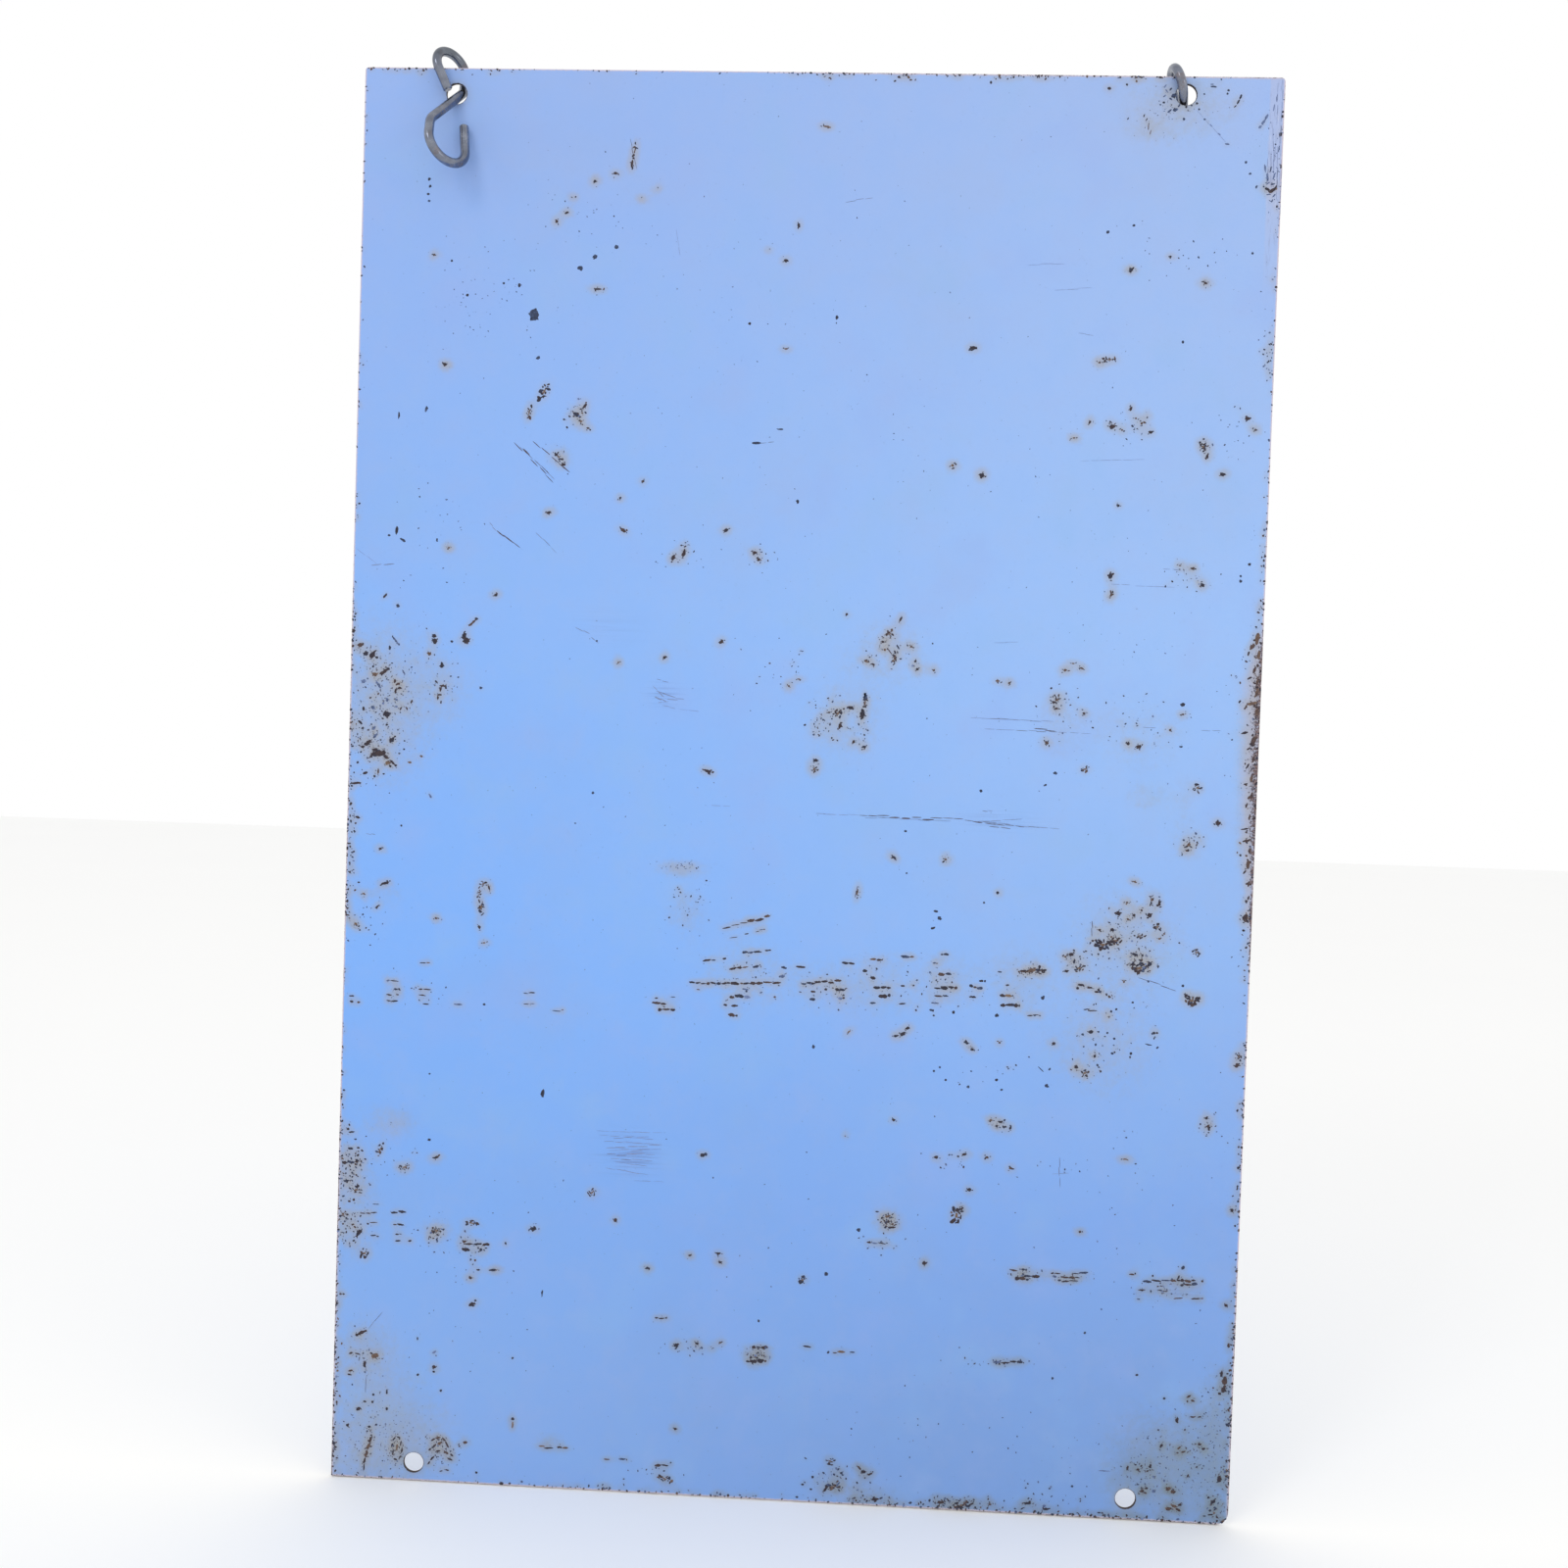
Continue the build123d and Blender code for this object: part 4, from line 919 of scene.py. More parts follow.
# %% Make the mesh, and see that it is closed
sheet_mesh = bpy.data.meshes.new("painted_sheet")
sheet_mesh.from_pydata(points, [], faces)
work = bmesh.new()
work.from_mesh(sheet_mesh)
bmesh.ops.recalc_face_normals(work, faces=work.faces)
open_edges = sum(len(edge.link_faces) != 2 for edge in work.edges)
work.to_mesh(sheet_mesh)
work.free()
painted_sheet = add_object("painted_sheet", sheet_mesh)
sheet_mesh.calc_loop_triangles()
print(len(sheet_mesh.loop_triangles), "triangles,", open_edges, "open edges")

# %% [markdown]
# ## Painting numbers on the points
# The haze round the chips, the stains and the scuffs are soft, so points 1 to 3 mm apart
# are fine enough to hold them. Each becomes a named attribute, a number from 0 to 1 on every
# point, and the material reads it by that name. What must be sharp, the chips themselves and
# the fine specks, isn't painted here: chips get real thickness below, and specks are noise
# in the material, which an attribute only makes thicker or thinner.

# %% Soft spots on the sheet's points
places = np.array([(x, z) for x, y, z in points])
in_front = np.array([y < 0 for x, y, z in points])
fades_by = 2.2


def soft_spots(spots):
    """Overlapping soft ellipses: each (x, z, reach, other reach, turn, strength)."""
    total = np.zeros(len(places))
    for x, z, long, wide, turn, strength in spots:
        reach = fades_by * max(long, wide)
        close = (np.abs(places[:, 0] - x) < reach) & (np.abs(places[:, 1] - z) < reach)
        close &= in_front
        aside, above = places[close, 0] - x, places[close, 1] - z
        along = aside * math.cos(turn) + above * math.sin(turn)
        beyond = above * math.cos(turn) - aside * math.sin(turn)
        value = strength * np.exp(-((along / long) ** 2 + (beyond / wide) ** 2))
        total[close] += value * (1 - total[close])
    return total


def photo_spots(rows):
    """Written stains or scuffs as soft spots in metres."""
    return [
        (*on_sheet(across, down), wide * pixel, high * pixel, 0.0, strength)
        for across, down, wide, high, strength in rows
    ]


def paint_numbers(name, values):
    """Keeps one number for each point of the sheet under a name."""
    layer = sheet_mesh.attributes.new(name, "FLOAT", "POINT")
    layer.data.foreach_set("value", np.clip(values, 0, 1).astype(np.float32))
    print(f"{name}: mean {values.mean():.3f}, highest {values.max():.2f}")


print(int(in_front.sum()), "points to paint on in front")

# %% Write the haze, stains, scuffs and the rust of the holes
paint_numbers("haze", soft_spots(halos))
paint_numbers("stain", soft_spots(photo_spots(stains)))
paint_numbers("scuff", soft_spots(photo_spots(scuffs)))

hole_distance = np.minimum.reduce([
    np.hypot(places[:, 0] - x, places[:, 1] - z) - hole_radius for x, z in holes.values()
])
hole_wear_reach = 1.3 * MM
paint_numbers("hole_wear", np.exp(-np.maximum(hole_distance, 0) / hole_wear_reach))

# %% [markdown]
# ## Writing node trees as sums
# A material is a small calculation done at every point of a surface, so it reads best as one.
# A reading stands for one socket, and adding, subtracting or multiplying readings adds the
# Math nodes behind it. Every other node comes from one method, which takes the node's type,
# its settings and what goes into its sockets. Geometry Nodes use the same Math nodes, so the
# same two classes serve for both. A third, for materials alone, has short names for the
# nodes that a finish needs most.

# %% Readings: one socket each
class Reading:
    """One output socket, on which Python's arithmetic builds Math nodes."""

    def __init__(self, network, socket):
        self.network, self.socket = network, socket

    def combine(self, operation, *values):
        sockets = dict(enumerate(values))
        return self.network.node("ShaderNodeMath", {"operation": operation}, sockets)

    def __add__(self, other):
        return self.combine("ADD", self, other)

    def __sub__(self, other):
        return self.combine("SUBTRACT", self, other)

    def __rsub__(self, other):
        return self.combine("SUBTRACT", other, self)

    def __mul__(self, other):
        return self.combine("MULTIPLY", self, other)

    def __truediv__(self, other):
        return self.combine("DIVIDE", self, other)

    def smallest(self, other):
        return self.combine("MINIMUM", self, other)

    def largest(self, other):
        return self.combine("MAXIMUM", self, other)

    def size(self):
        return self.combine("ABSOLUTE", self)

    def root(self):
        return self.combine("SQRT", self)

    def rise(self, low, high):
        """0 below the low value, 1 above the high one, and a soft step between."""
        settings, sockets = {"interpolation_type": "SMOOTHSTEP"}, {0: self, 1: low, 2: high}
        return self.network.node("ShaderNodeMapRange", settings, sockets)

    __radd__ = __add__
    __rmul__ = __mul__


print("readings can be added, subtracted, multiplied and divided")

# %% Networks: a node tree, and what adds nodes to it
class Network:
    """A node tree, and the methods that add nodes to it."""

    def __init__(self, tree):
        self.tree = tree

    def node(self, kind, settings=None, sockets=None, out=0):
        made = self.tree.nodes.new(kind)
        for name, value in (settings or {}).items():
            if name == "stops":
                self.set_stops(made.color_ramp, value)
            else:
                setattr(made, name, value)
        for key, value in (sockets or {}).items():
            self.feed(made.inputs[key], value)
        return Reading(self, made.outputs[out])

    def feed(self, socket, value):
        if isinstance(value, Reading):
            self.tree.links.new(value.socket, socket)
        else:
            socket.default_value = value

    def parts(self, vector):
        """A vector's three numbers as readings."""
        apart = self.tree.nodes.new("ShaderNodeSeparateXYZ")
        self.feed(apart.inputs[0], vector)
        return [Reading(self, socket) for socket in apart.outputs]

    def set_stops(self, ramp, stops):
        while len(ramp.elements) < len(stops):
            ramp.elements.new(1)
        for element, (place, tone) in zip(ramp.elements, stops):
            element.position, element.color = place, tone


print("networks take nodes by type, settings and sockets")

# %% Colours: as on a screen, and as in a shader
def colour(code):
    """A #RRGGBB code as the linear colour that nodes expect; all else stays as it is."""
    if not isinstance(code, str):
        return code
    values = [int(code[i:i + 2], 16) / 255 for i in (1, 3, 5)]
    return (*[v / 12.92 if v < 0.04045 else ((v + 0.055) / 1.055) ** 2.4 for v in values], 1.0)


print("a mid blue is", [round(v, 3) for v in colour("#8FB4F0")])

# %% Finishes: a material's tree, and the nodes used most
class Finish(Network):
    """A material on one Principled shader, with shorthands for the nodes used most."""

    def __init__(self, name, constants):
        self.material = bpy.data.materials.new(name)
        self.material.use_nodes = True
        super().__init__(self.material.node_tree)
        self.shader = self.tree.nodes["Principled BSDF"]
        for socket, value in constants.items():
            self.shader.inputs[socket].default_value = value
        self.place = self.node("ShaderNodeTexCoord", out="Object")
        self.skin = None

    def noise(self, scale, detail=3.0, roughness=0.5, stretch=(1, 1, 1), shift=(0, 0, 0)):
        """Cloudy noise in real space, with the scale in waves per metre."""
        place = self.node("ShaderNodeMapping", {}, {0: self.place, 1: shift, 3: stretch})
        sockets = {"Vector": place, "Scale": scale, "Detail": detail, "Roughness": roughness}
        return self.node("ShaderNodeTexNoise", {}, sockets)

    def number(self, name):
        """A number painted on the points."""
        return self.node("ShaderNodeAttribute", {"attribute_name": name}, out="Fac")

    def blend(self, share, first, second):
        """A mix of two colours, each a reading or a #RRGGBB code."""
        sockets = {0: share, 6: colour(first), 7: colour(second)}
        return self.node("ShaderNodeMix", {"data_type": "RGBA"}, sockets, out=2)

    def coat(self, share, tone):
        """Lays one more tone over what is painted so far."""
        self.skin = self.blend(share, self.skin, tone)

    def ramp(self, value, *stops):
        stops = [(place, colour(tone)) for place, tone in stops]
        return self.node("ShaderNodeValToRGB", {"stops": stops}, {0: value})

    def wear(self, sockets):
        """Links readings to the Principled shader's sockets."""
        for name, value in sockets.items():
            self.feed(self.shader.inputs[name], value)

    def relief(self, height, depth):
        """Turns a height reading into a bumped normal, with the depth in metres."""
        sockets = {"Height": height, "Distance": depth, "Strength": 1.0}
        return self.node("ShaderNodeBump", {}, sockets)


print("a finish can be blended, coated and raised")

# %% [markdown]
# ## The blue paint
# The real sheet was sprayed one flat light blue. The light and shade that fall on it are
# painted into that blue: deeper at the left and below the middle, and paler and greyer towards
# the top right. Two upright ramps, one for each side edge, hold those painted tones, and the
# distance across the sheet blends between them. Over that lie faint clouds, as all old paint
# has, then the stains, the rust haze, the scuffs and a strip rubbed paler. The rust at the
# edges, the worn rim with its painted highlight, the finest specks and the back follow in
# parts of their own.

# %% The paint's tones, with its painted light and shade
paint = Finish("weathered_blue_paint", {"Metallic": 0.0, "Specular IOR Level": 0.4})
across, behind, up = paint.parts(paint.place)
share_across = across / (2 * half_width) + 0.5
share_up = up / sheet_height
clouds = paint.noise(9, detail=4, roughness=0.6)
wavering = share_up + (clouds - 0.5) * 0.16
# Painted light and shade: deeper at the left and towards the foot, paler and greyer at the top
# right.
left_paint_and_light = paint.ramp(wavering, (0.04, "#82A9E4"), (0.2, "#7AA8EA"), (0.38, "#7AADF4"),
                        (0.62, "#84B0F0"), (0.95, "#8CACE6"))
right_paint_and_light = paint.ramp(wavering, (0.04, "#769AD2"), (0.2, "#7CA4E4"), (0.36, "#8BB2EC"),
                         (0.62, "#97BBF0"), (0.95, "#9BB6E7"))
paint.skin = paint.blend(share_across.rise(0.0, 1.0), left_paint_and_light, right_paint_and_light)
mottle = paint.noise(55, detail=6, roughness=0.65)
grain = paint.noise(420, detail=3, roughness=0.6)
paint.coat(mottle.rise(0.42, 0.75) * 0.2, "#99AEDC")
paint.coat(mottle.rise(0.6, 0.3) * 0.12, "#7CA9EC")
cast = paint.noise(24, detail=3, roughness=0.55, shift=(3, 0, 7))
paint.coat(cast.rise(0.52, 0.72) * 0.2, "#94A8E0")
paint.coat(cast.rise(0.48, 0.3) * 0.2, "#8CB4DE")
paint.coat(grain.rise(0.58, 0.8) * 0.08, "#8093BE")
print("paint tones set")

# %% [markdown]
# ## Stains, haze and scuffs
# Rain has spread a cream and greenish haze from every spot of rust, and rubbing has left
# level streaks of a darker blue grey. They could be painted by hand as a picture, but the
# points already hold them as numbers. Noise breaks those soft numbers up, so that a stain
# ends in a ragged line, as on real paint, and not in a round sprayed spot.

# %% Stains, haze and scuffs over the paint
rag = paint.noise(260, detail=5, roughness=0.7)
fine_rag = paint.noise(1500, detail=3, roughness=0.65)
stain = paint.number("stain")
dirty = (stain + (rag - 0.5) * 0.7 * stain.rise(0.02, 0.3)).rise(0.08, 0.95)
bloom = paint.noise(14, detail=4, roughness=0.6, shift=(5, 0, 2)).rise(0.5, 0.75)
foot_grey = paint.blend(share_across, "#9C978C", "#727B76")
warm_grey = paint.blend(share_up.rise(0.0, 0.35), foot_grey, "#A39D92")
paint.coat(dirty * 0.5 + bloom * 0.08, warm_grey)
paint.coat((dirty * rag.rise(0.45, 0.75)) * 0.2, "#8E9C9C")

haze = paint.number("haze")
bled = haze + (rag - 0.5) * 0.4 + (fine_rag - 0.5) * 0.3
near_rust = haze.rise(0.0, 0.3)
paint.coat(near_rust * bled.rise(-0.1, 0.9) * 0.66, warm_grey)
paint.coat(near_rust * bled.rise(0.75, 1.15) * 0.4, "#AFA596")
rusty = near_rust * bled.rise(0.95, 1.2)
paint.coat(rusty * 0.6, "#80695C")

scuff = paint.number("scuff")
level_rubs = paint.noise(60, detail=4, roughness=0.7, stretch=(0.35, 1, 16)).rise(0.46, 0.62)
rubbed = scuff * (level_rubs * 0.75 + fine_rag.rise(0.5, 0.7) * 0.2)
paint.coat(rubbed, "#6479AC")
print("wear painted")

# %% [markdown]
# ## The rubbed strip
# Down the upper part of the right edge something has rubbed the paint pale, with fine darker
# and lighter streaks in it. A strip needs no mesh of its own: it is all the paint within 6 mm
# of that edge, faded in from below, and noise drawn out along the edge makes the streaks.

# %% The rubbed strip down the upper right edge
strip_width = 6.0 * MM
from_right = half_width - across + (rag - 0.5) * (1.2 * MM)
strip = from_right.rise(strip_width, strip_width * 0.86) * share_up.rise(0.84, 0.93)
streaks = paint.noise(70, detail=5, roughness=0.75, stretch=(9, 1, 1.1), shift=(1, 0, 4))
paint.coat(strip * 0.5, "#B0B6D4")
paint.coat(strip * streaks.rise(0.52, 0.64) * 0.7, "#838FB2")
paint.coat(strip * streaks.rise(0.42, 0.32) * 0.5, "#CBD1E6")
print("strip painted")

# %% [markdown]
# ## Rust from the edges
# Rust eats in from a cut edge where the paint is thinnest. How deep it reaches differs along
# each edge, so one ramp for each edge holds its depth, and the distance from that edge is
# divided by it. Noise on the quotient makes the front line ragged. The nearest edge wins.
# Halfway up the right edge the rust reaches 5 mm in, and there it is broken into thin
# branching lines with paint left between them.

# %% How deep the rust reaches in from each edge, in millimetres
deepest = 8


def reach(along, *stops):
    """A depth along an edge, from (share of the way, millimetres) pairs."""
    greys = [(place, (*[depth / deepest] * 3, 1.0)) for place, depth in stops]
    return paint.ramp(along, *greys) * (deepest * MM)


right_reach = reach(share_up, (0.0, 0.9), (0.1, 0.8), (0.2, 0.3), (0.38, 0.5), (0.42, 1.6),
                    (0.46, 3.2), (0.52, 5.0), (0.585, 5.4), (0.61, 2.0), (0.635, 0.3),
                    (0.86, 0.35), (1.0, 0.4))
left_reach = reach(share_up, (0.0, 0.9), (0.24, 0.9), (0.3, 0.45), (0.48, 0.6), (0.6, 0.7),
                   (0.68, 0.3), (1.0, 0.35))
top_reach = reach(share_across, (0.0, 0.5), (0.1, 0.3), (0.45, 0.4), (0.55, 0.7), (0.7, 0.8),
                  (0.9, 0.6), (1.0, 0.8))
bottom_reach = reach(share_across, (0.0, 0.7), (0.15, 0.5), (0.3, 0.35), (0.6, 0.45),
                     (0.72, 0.6), (0.92, 0.7), (1.0, 0.7))
head_start = 0.16 * MM
eaten = (half_width + head_start - across) / right_reach
eaten = eaten.smallest((across + half_width + head_start) / left_reach)
eaten = eaten.smallest((sheet_height + head_start - up) / top_reach)
eaten = eaten.smallest((up + head_start) / bottom_reach)
eaten = eaten + (rag - 0.5) * 1.9 + (fine_rag - 0.5) * 1.6
spidery = (paint.noise(300, detail=5, roughness=0.75) - 0.5).size().rise(0.085, 0.035)
crusty = right_reach.rise(1.5 * MM, 3.0 * MM) * across.rise(0.0, 0.1)
edge_rust = eaten.rise(0.62, 0.34) * (1 - crusty * (1 - spidery) * eaten.rise(0.0, 0.12))
print("reach of the rust set on four edges")

# %% Lay the edge rust over the paint, then the thin pale rim of worn paint and painted highlight
paint.coat(eaten.rise(1.9, 0.6) * 0.5, "#AEABBA")
edge_tone = paint.blend(fine_rag.rise(0.38, 0.6), "#40353A", "#856B66")
paint.coat(edge_rust * 0.95, edge_tone)
rim_gap = (half_width - across.size()).smallest(up).smallest(sheet_height - up)
# The pale rim along the edges is partly worn paint, partly a painted highlight on the rolled edge.
worn_rim_and_highlight = (rim_gap + (fine_rag - 0.5) * (1.2 * MM)).rise(0.8 * MM, 0.2 * MM)
paint.coat(worn_rim_and_highlight * (1 - edge_rust) * 0.85, "#CDBDC6")
print("rims painted")

# %% [markdown]
# ## The finest rust
# Between the chips the paint is peppered with specks too small to build, thin broken rings
# show where rust has crept under it, and round the holes it is gone down to brown steel. All
# three are noise held to its place by the painted numbers: the more haze, the more specks
# and rings come through.

# %% Fine specks, thin rings of rust, and the rusty holes
speckle = paint.noise(1150, detail=2, roughness=0.5)
likely = haze * 0.12 + dirty * 0.1
specks = (speckle + likely).rise(0.765, 0.79)
paint.coat(specks * 0.85, "#4A4550")
rings = (paint.noise(620, detail=2, roughness=0.55) - 0.5).size().rise(0.02, 0.005)
rings = rings * (haze + (rag - 0.5) * 1.2).rise(0.5, 0.75)
paint.coat(rings * 0.6, "#5C5052")

hole_wear = paint.number("hole_wear")
bare = (hole_wear + (fine_rag - 0.5) * 0.4).rise(0.78, 0.95)
paint.coat(hole_wear * 0.5, "#8E96A0")
paint.coat(bare, "#3B302E")
print("specks, rings and holes painted")

# %% [markdown]
# ## The back
# The photo doesn't show the back, so its wear is a guess at what years outdoors do there.
# Rain has drawn grime down it in faint streaks, rust has started in pinholes and small
# blooms, and it is rubbed in level lines where it knocked against what it hung on. All of it
# is noise, stretched down or across, and held to the rear face by the depth.

# %% Grime, rubs, pinholes and blooms on the back
rearward = behind.rise(0.2 * MM, 0.5 * MM)
runs = paint.noise(24, detail=5, roughness=0.7, stretch=(6, 1, 0.5), shift=(2, 0, 9))
runs = runs.rise(0.48, 0.7)
knocks = paint.noise(46, detail=4, roughness=0.7, stretch=(0.4, 1, 14), shift=(6, 0, 3))
knocks = knocks.rise(0.6, 0.7)
started = paint.noise(11, detail=4, roughness=0.6, shift=(9, 0, 1))
blooms = paint.noise(150, detail=4, roughness=0.7, shift=(1, 0, 8)) + started * 0.5
pinholes = paint.noise(620, detail=2, roughness=0.5, shift=(4, 0, 6)) + started * 0.3
pinholes = pinholes.rise(0.83, 0.86)
pitted = blooms.rise(0.93, 0.97).largest(pinholes) * rearward
paint.coat(rearward * runs * 0.35, "#6F86AE")
paint.coat(rearward * knocks * 0.5, "#B4C4E4")
paint.coat(rearward * blooms.rise(0.84, 0.94) * 0.5, "#A39D92")
pit_tone = paint.blend(fine_rag.rise(0.4, 0.6), "#453B3D", "#7A5A4C")
paint.coat(pitted * 0.9, pit_tone)
print("back worn")

# %% [markdown]
# ## Rough where it is rusty
# Rust stands up from the paint and is dull, while sound paint is smooth, with a satin shine.
# One reading gathers all the damage. It both lifts the bumped surface and takes the shine
# away, so that the two always fall on the same places.

# %% Raise the rust, and put the paint on the sheet
damage = rusty.largest(specks).largest(edge_rust).largest(bare).largest(pitted)
height = damage * 0.7 + fine_rag * damage * 0.5 + grain * 0.05 + paint.noise(90, detail=2) * 0.1
paint.wear({
    "Base Color": paint.skin,
    "Roughness": 0.42 + damage * 0.4 + dirty * 0.12 + rubbed * 0.1,
    "Normal": paint.relief(height, 0.12 * MM),
})
sheet_mesh.materials.append(paint.material)
print(len(paint.tree.nodes), "nodes in the paint")

# %% [markdown]
# ## What a flake is made of
# The warmest rust on the sheet is a dull brown, most of it is nearly black, and old nicks
# have gone to blue slate. Each flake carries its own shade as a number, and one colour ramp
# turns that into its tone. Grit and patches of noise are added first, so that no flake has
# one flat colour.

# %% The rust's material, from warm brown through dark brown to slate
rust = Finish("flaking_rust", {"Metallic": 0.0, "Specular IOR Level": 0.2})
core = rust.number("core")
grit = rust.noise(1800, detail=3, roughness=0.65)
patchy = rust.noise(420, detail=3, roughness=0.6)
mixed = rust.number("shade") + (grit - 0.5) * 0.5 + (patchy - 0.5) * 0.4
crust = rust.ramp(mixed, (0.0, "#7C6859"), (0.2, "#5C4C48"), (0.42, "#3F373C"),
                  (0.62, "#34343F"), (0.8, "#3C4863"), (1.0, "#6F80AA"))
rust.wear({
    # A paler grey rim round each flake is a painted highlight on its raised edge.
    "Base Color": rust.blend(core.rise(0.25, 0.0) * 0.2, crust, "#86808A"),
    "Roughness": 0.75 + grit * 0.2,
    "Normal": rust.relief(grit + patchy, 0.1 * MM),
})
print(len(rust.tree.nodes), "nodes in the rust")

# %% [markdown]
# ## Rust flakes by Geometry Nodes
# Every chip, dash and speck is the same thing at another size: a low crust of rust with a
# ragged edge. So one small lozenge is built once and set on a point for each mark. The
# point carries the mark's length, width, turn and tone, the tree scales and turns a copy to
# suit, and noise then pulls the copy's outline out of true, so that no two are alike. A low
# count of sides keeps thousands of them light.

# %% The flake tree, and what it takes
flake_tree = bpy.data.node_groups.new("scattered_flakes", "GeometryNodeTree")
inputs = {"Marks": "Geometry", "Sides": "Int", "Raggedness": "Float", "Finish": "Material"}
for name, kind in inputs.items():
    flake_tree.interface.new_socket(name, in_out="INPUT", socket_type="NodeSocket" + kind)
flake_tree.interface.new_socket("Flakes", in_out="OUTPUT", socket_type="NodeSocketGeometry")
growing = Network(flake_tree)
given = flake_tree.nodes.new("NodeGroupInput")
asked = {name: Reading(growing, given.outputs[name]) for name in inputs}


def vector_of(x, y, z):
    return growing.node("ShaderNodeCombineXYZ", {}, {0: x, 1: y, 2: z})


def mark_number(name):
    """One of the numbers that each mark's point carries."""
    return growing.node("GeometryNodeInputNamedAttribute", {"data_type": "FLOAT"}, {0: name})


print("the tree takes", ", ".join(inputs))

# %% One lozenge, narrower at its top
top_share = 0.72
lozenge_settings = {"fill_type": "TRIANGLE_FAN"}
lozenge_sockets = {
    "Vertices": asked["Sides"],
    "Side Segments": 1,
    "Fill Segments": 1,
    "Radius": 0.5,
    "Depth": 1.0,
}
lozenge = growing.node("GeometryNodeMeshCylinder", lozenge_settings, lozenge_sockets, out="Mesh")
top = Reading(growing, lozenge.socket.node.outputs["Top"])
x, y, z = growing.parts(growing.node("GeometryNodeInputPosition"))
drawn_in = vector_of(x * top_share, y * top_share, z)
narrowed = {"Geometry": lozenge, "Selection": top, "Position": drawn_in}
lozenge = growing.node("GeometryNodeSetPosition", {}, narrowed)
x, y, z = growing.parts(growing.node("GeometryNodeInputPosition"))
from_rim = 1 - (x * x + y * y).root() * 2
per_point = {"data_type": "FLOAT", "domain": "POINT"}
stored = {"Geometry": lozenge, "Name": "core", "Value": from_rim}
lozenge = growing.node("GeometryNodeStoreNamedAttribute", per_point, stored)
facing_out = {"Geometry": lozenge, "Rotation": (math.pi / 2, 0, 0)}
lozenge = growing.node("GeometryNodeTransform", {}, facing_out)
print(len(flake_tree.nodes), "nodes make the lozenge")

# %% A copy on every mark, pulled out of true
within = 0.02 * MM
pull_scale = 1500.0
euler = vector_of(0, 0 - mark_number("turn"), 0)
turned = growing.node("FunctionNodeEulerToRotation", {}, {0: euler})
copies = {
    "Points": asked["Marks"],
    "Instance": lozenge,
    "Rotation": turned,
    "Scale": vector_of(mark_number("long"), mark_number("thick"), mark_number("wide")),
}
copies = growing.node("GeometryNodeInstanceOnPoints", {}, copies)
real = growing.node("GeometryNodeRealizeInstances", {}, {0: copies})
place = growing.node("GeometryNodeInputPosition")
noise = {"Vector": place, "Scale": pull_scale, "Detail": 2.0}
pull = growing.node("ShaderNodeTexNoise", {}, noise, out="Color")
pull_x, _, pull_z = growing.parts(pull)
x, y, z = growing.parts(place)
strength = mark_number("wide") * asked["Raggedness"]
edge = half_width - within
x = (x + (pull_x - 0.5) * strength).smallest(edge).largest(-edge)
z = (z + (pull_z - 0.5) * strength).smallest(sheet_height - within).largest(within)
pulled = {"Geometry": real, "Position": vector_of(x, y, z)}
ragged = growing.node("GeometryNodeSetPosition", {}, pulled)
finished = {"Geometry": ragged, "Material": asked["Finish"]}
painted = growing.node("GeometryNodeSetMaterial", {}, finished)
leaving = flake_tree.nodes.new("NodeGroupOutput")
growing.feed(leaving.inputs["Flakes"], painted)
print(len(flake_tree.nodes), "nodes in the flake tree")

# %% [markdown]
# ## Growing the chips and the specks
# A flake that overhung a rim or a hole would stand in the air, so only marks on sound steel
# are grown. The longer ones get 16 sides and the specks 7, since nobody sees the outline of
# a speck. Each has its foot sunk in the paint, so that no light shows under it. The tree's
# result is kept as a plain mesh and not as a modifier.

# %% Which marks lie on sound steel
edge_margin = 0.3 * MM


def on_sound_steel(x, z):
    """Whether a flake here would lie on the sheet, off its rims, holes and knocked corner."""
    off_holes = all(math.dist((x, z), hole) > hole_radius + edge_margin for hole in holes.values())
    in_rims = abs(x) < half_width - edge_margin and edge_margin < z < sheet_height - edge_margin
    knocked = corner_radius["bottom_right"]
    past_x, past_z = max(x - half_width + knocked, 0), max(knocked - z, 0)
    return off_holes and in_rims and math.hypot(past_x, past_z) < knocked - edge_margin


sound = [mark for mark in flakes if on_sound_steel(mark[0], mark[1])]
print(len(sound), "of", len(flakes), "flakes lie on sound steel")

# %% Run the flake tree on a list of marks
buried = 0.03 * MM
thinnest, thicker_by = 0.025, 0.05


def grown(name, marks, sides, raggedness, finish):
    """Runs the flake tree on a list of marks, and keeps the result as a plain mesh."""
    lifts = [(thinnest + thicker_by * dice.random()) * MM for _ in marks]
    middles = [
        (mark[0], front_face + (buried - lift) / 2, mark[1]) for mark, lift in zip(marks, lifts)
    ]
    seeds = bpy.data.meshes.new(name + "_marks")
    seeds.from_pydata(middles, [], [])
    names = ("long", "wide", "turn", "shade")
    columns = {column: [mark[at] for mark in marks] for at, column in enumerate(names, 2)}
    columns["thick"] = [lift + buried for lift in lifts]
    for column, values in columns.items():
        layer = seeds.attributes.new(column, "FLOAT", "POINT")
        layer.data.foreach_set("value", np.array(values, np.float32))
    holder = add_object(name + "_marks", seeds)
    modifier = holder.modifiers.new("flakes", "NODES")
    modifier.node_group = flake_tree
    values = {"Sides": sides, "Raggedness": raggedness, "Finish": finish.material}
    for item in flake_tree.interface.items_tree:
        if item.name in values:
            modifier[item.identifier] = values[item.name]
    evaluated = holder.evaluated_get(bpy.context.evaluated_depsgraph_get())
    mesh = bpy.data.meshes.new_from_object(evaluated)
    bpy.data.objects.remove(holder)
    mesh.name = name
    piece = add_object(name, mesh)
    mesh.calc_loop_triangles()
    print(f"{name}: {len(marks)} flakes, {len(mesh.loop_triangles)} triangles")
    return piece


print(f"flakes stand {thinnest} to {thinnest + thicker_by:.3f} mm off the paint")

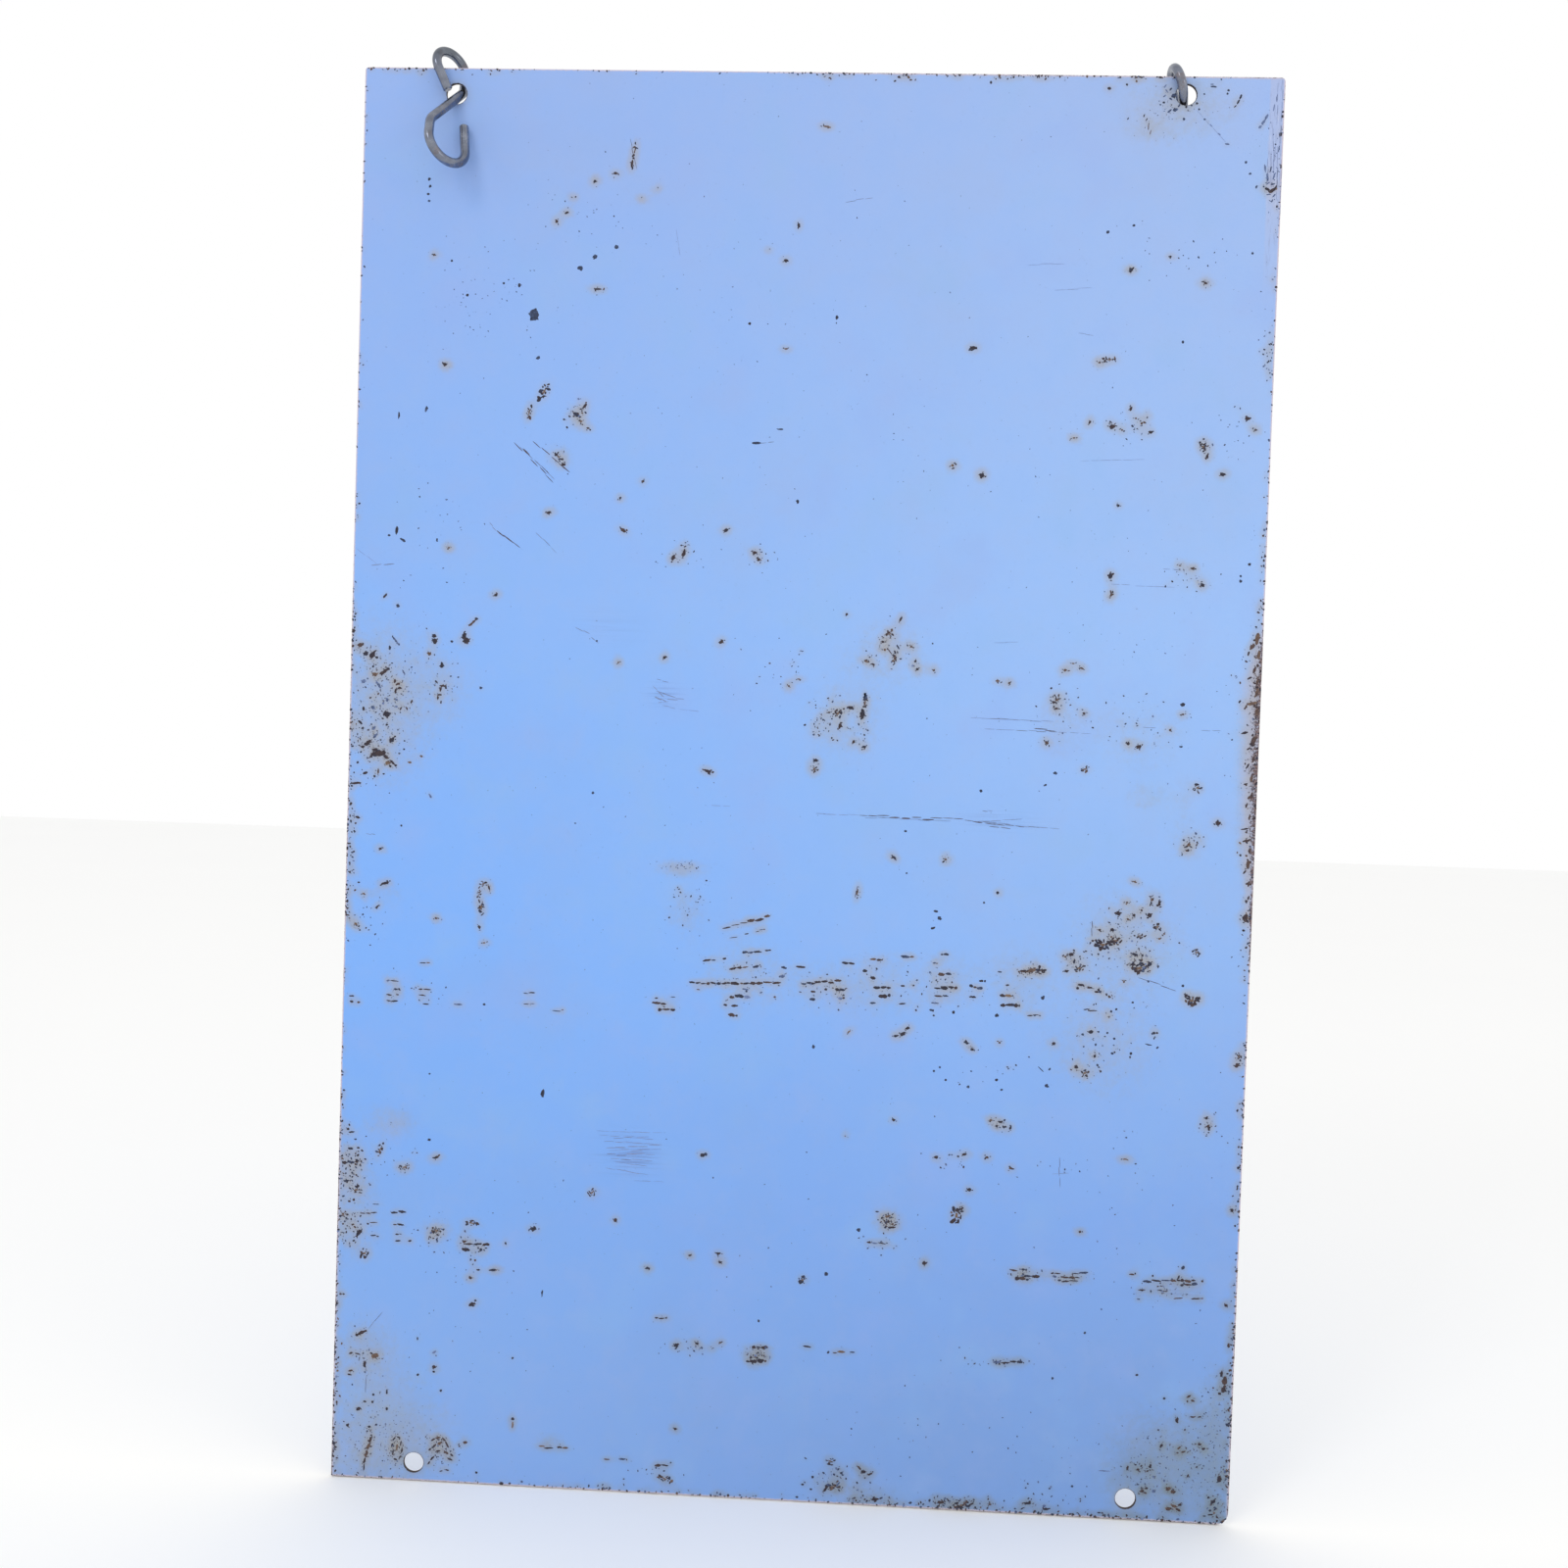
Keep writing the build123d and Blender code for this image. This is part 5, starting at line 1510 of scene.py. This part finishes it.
# %% Grow the chips and the specks
chip_length = 1.5 * MM
large = [mark for mark in sound if mark[2] >= chip_length]
small = [mark for mark in sound if mark[2] < chip_length]
rust_chips = grown("rust_chips", large, sides=16, raggedness=0.9, finish=rust)
rust_specks = grown("rust_specks", small, sides=7, raggedness=0.7, finish=rust)

# %% [markdown]
# ## Scratches
# A scratch is a line of broken cuts more than one clean groove. So each one is laid as a row
# of long thin flakes, a little off the line and thinnest at its two ends. The flake tree
# grows them too, with less raggedness.

# %% Where the cuts of each scratch lie
scratch_marks = []
cut_pixels = 11
for from_across, from_down, to_across, to_down, wide, shade in scratches:
    x0, z0 = on_sheet(from_across, from_down)
    x1, z1 = on_sheet(to_across, to_down)
    length = math.hypot(x1 - x0, z1 - z0)
    cuts = max(2, round(length / (cut_pixels * pixel)))
    heading = math.atan2(z1 - z0, x1 - x0)
    for cut in range(cuts):
        share = (cut + 0.5 + dice.uniform(-0.15, 0.15)) / cuts
        taper = 0.45 + 0.55 * math.sin(math.pi * share)
        off = dice.gauss(0, 0.25) * wide * pixel
        scratch_marks.append((
            x0 + (x1 - x0) * share - math.sin(heading) * off,
            z0 + (z1 - z0) * share + math.cos(heading) * off,
            length / cuts * dice.uniform(1.0, 1.5),
            wide * pixel * taper * dice.uniform(0.4, 0.75),
            heading + dice.uniform(-0.03, 0.03),
            min(max(dice.gauss(shade, 0.12), 0), 1),
        ))
print(len(scratch_marks), "cuts in", len(scratches), "scratches")

# %% Grow the scratches in bared and rusted steel
scratch_finish = Finish("scratched_paint", {"Metallic": 0.0, "Specular IOR Level": 0.35})
worn = scratch_finish.number("shade") + (scratch_finish.noise(900, detail=3) - 0.5) * 0.5
scratch_tones = scratch_finish.ramp(worn, (0.15, "#45302D"), (0.45, "#4C4450"),
                                    (0.7, "#69738F"), (1.0, "#7F8EB6"))
scratch_finish.wear({"Base Color": scratch_tones, "Roughness": 0.55 + worn * 0.15})
scratched_lines = grown("scratched_lines", scratch_marks, sides=8, raggedness=0.3,
                        finish=scratch_finish)

# %% [markdown]
# ## The hooks
# The two S-hooks are the measured wire itself: its bends were fitted to the photo, so they
# need no new mesh, only the look of zinc-plated wire after years outdoors. The plating has
# gone dull and blotchy, with grime and a touch of brown in places. Above the sheet's edge the
# wire is painted a little greener and darker, as painted shade.

# %% Worn zinc on the wire
wire = Finish("worn_zinc_wire", {"Specular IOR Level": 0.5})
blotch = wire.noise(150, detail=4, roughness=0.55)
pits = wire.noise(1300, detail=4, roughness=0.7)
drawn = wire.noise(500, detail=3, roughness=0.6, stretch=(1, 1, 0.25))
zinc = wire.ramp(blotch + (pits - 0.5) * 0.08, (0.3, "#5C606B"), (0.5, "#747986"),
                 (0.74, "#9499A6"))
_, _, wire_up = wire.parts(wire.place)
top_of_eye = sheet_height + 9 * MM
# Painted shade: darker, greener zinc where the wire rises above the sheet's edge.
above_edge_painted_shade = wire_up.rise(sheet_height, top_of_eye)
grimy = (blotch * 0.6 + pits * 0.5).rise(0.58, 0.7)
brown = (wire.noise(110, detail=4, roughness=0.7) + pits * 0.2).rise(0.64, 0.76)
wire.skin = zinc
wire.coat(above_edge_painted_shade * 0.4, "#606663")
wire.coat(grimy * 0.15, "#4C4D4A")
wire.coat(brown * 0.5, "#6B5A57")
wire.wear({
    "Base Color": wire.skin,
    "Metallic": 0.95 - grimy * 0.2 - brown * 0.5,
    "Roughness": 0.12 + blotch * 0.16 + grimy * 0.12,
    "Normal": wire.relief(pits * 0.5 + drawn * 0.5, 0.03 * MM),
})
for hook in ("left_hook", "right_hook"):
    for slot in bpy.data.objects[hook].material_slots:
        slot.material = wire.material
    print(hook, "wears", wire.material.name)

# %% [markdown]
# ## The studio
# The photo was cut out onto plain white and lit by open sky, so the light is broad and soft
# with hardly a shadow. A large pale floor, a bright even world and two wide lamps in front
# give the same. The lamps stand off to the sides, out of the paint's mirror direction.

# %% The floor
bpy.ops.mesh.primitive_plane_add(size=8, location=(0, 0, -0.4 * MM))
floor = bpy.context.object
floor.name = "studio_floor"
floor_finish = Finish("pale_floor", {"Roughness": 0.9, "Specular IOR Level": 0.1})
paper = floor_finish.noise(3, detail=2)
floor_finish.wear({"Base Color": floor_finish.blend(paper * 0.3, "#F9F9F8", "#F5F5F5")})
floor.data.materials.append(floor_finish.material)
print("floor laid", round(-floor.location.z / MM, 1), "mm under the sheet")

# %% The world and the lamps
world = bpy.data.worlds.new("open_sky")
world.use_nodes = True
world.node_tree.nodes["Background"].inputs["Color"].default_value = colour("#FFFFFF")
world.node_tree.nodes["Background"].inputs["Strength"].default_value = 1.0
bpy.context.scene.world = world
bpy.context.scene.view_settings.view_transform = "Standard"


def add_lamp(name, place, target, side, power):
    """A wide soft lamp that looks at a target."""
    data = bpy.data.lights.new(name, "AREA")
    data.size, data.energy = side, power
    lamp = add_object(name, data)
    lamp.location = place
    lamp.rotation_euler = (Vector(target) - Vector(place)).to_track_quat("-Z", "Y").to_euler()


middle = (0, 0, sheet_height / 2)
add_lamp("key_lamp", (-1.1, -1.6, 1.7), middle, 0.6, 5)
add_lamp("fill_lamp", (1.5, -1.2, 0.9), middle, 0.6, 1.5)
print("world and two lamps set")

# %% [markdown]
# ## The pieces on one body
# The new sheet takes the place of the measured one, which is hidden, and everything rides on
# the one rigid body.

# %% Ride on the root body, and hide the measured sheet
for piece, slot in (
    (painted_sheet, "painted_sheet"),
    (rust_chips, "painted_sheet"),
    (rust_specks, "painted_sheet"),
    (scratched_lines, "painted_sheet"),
):
    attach(piece, "root")
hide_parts("sign_plate")
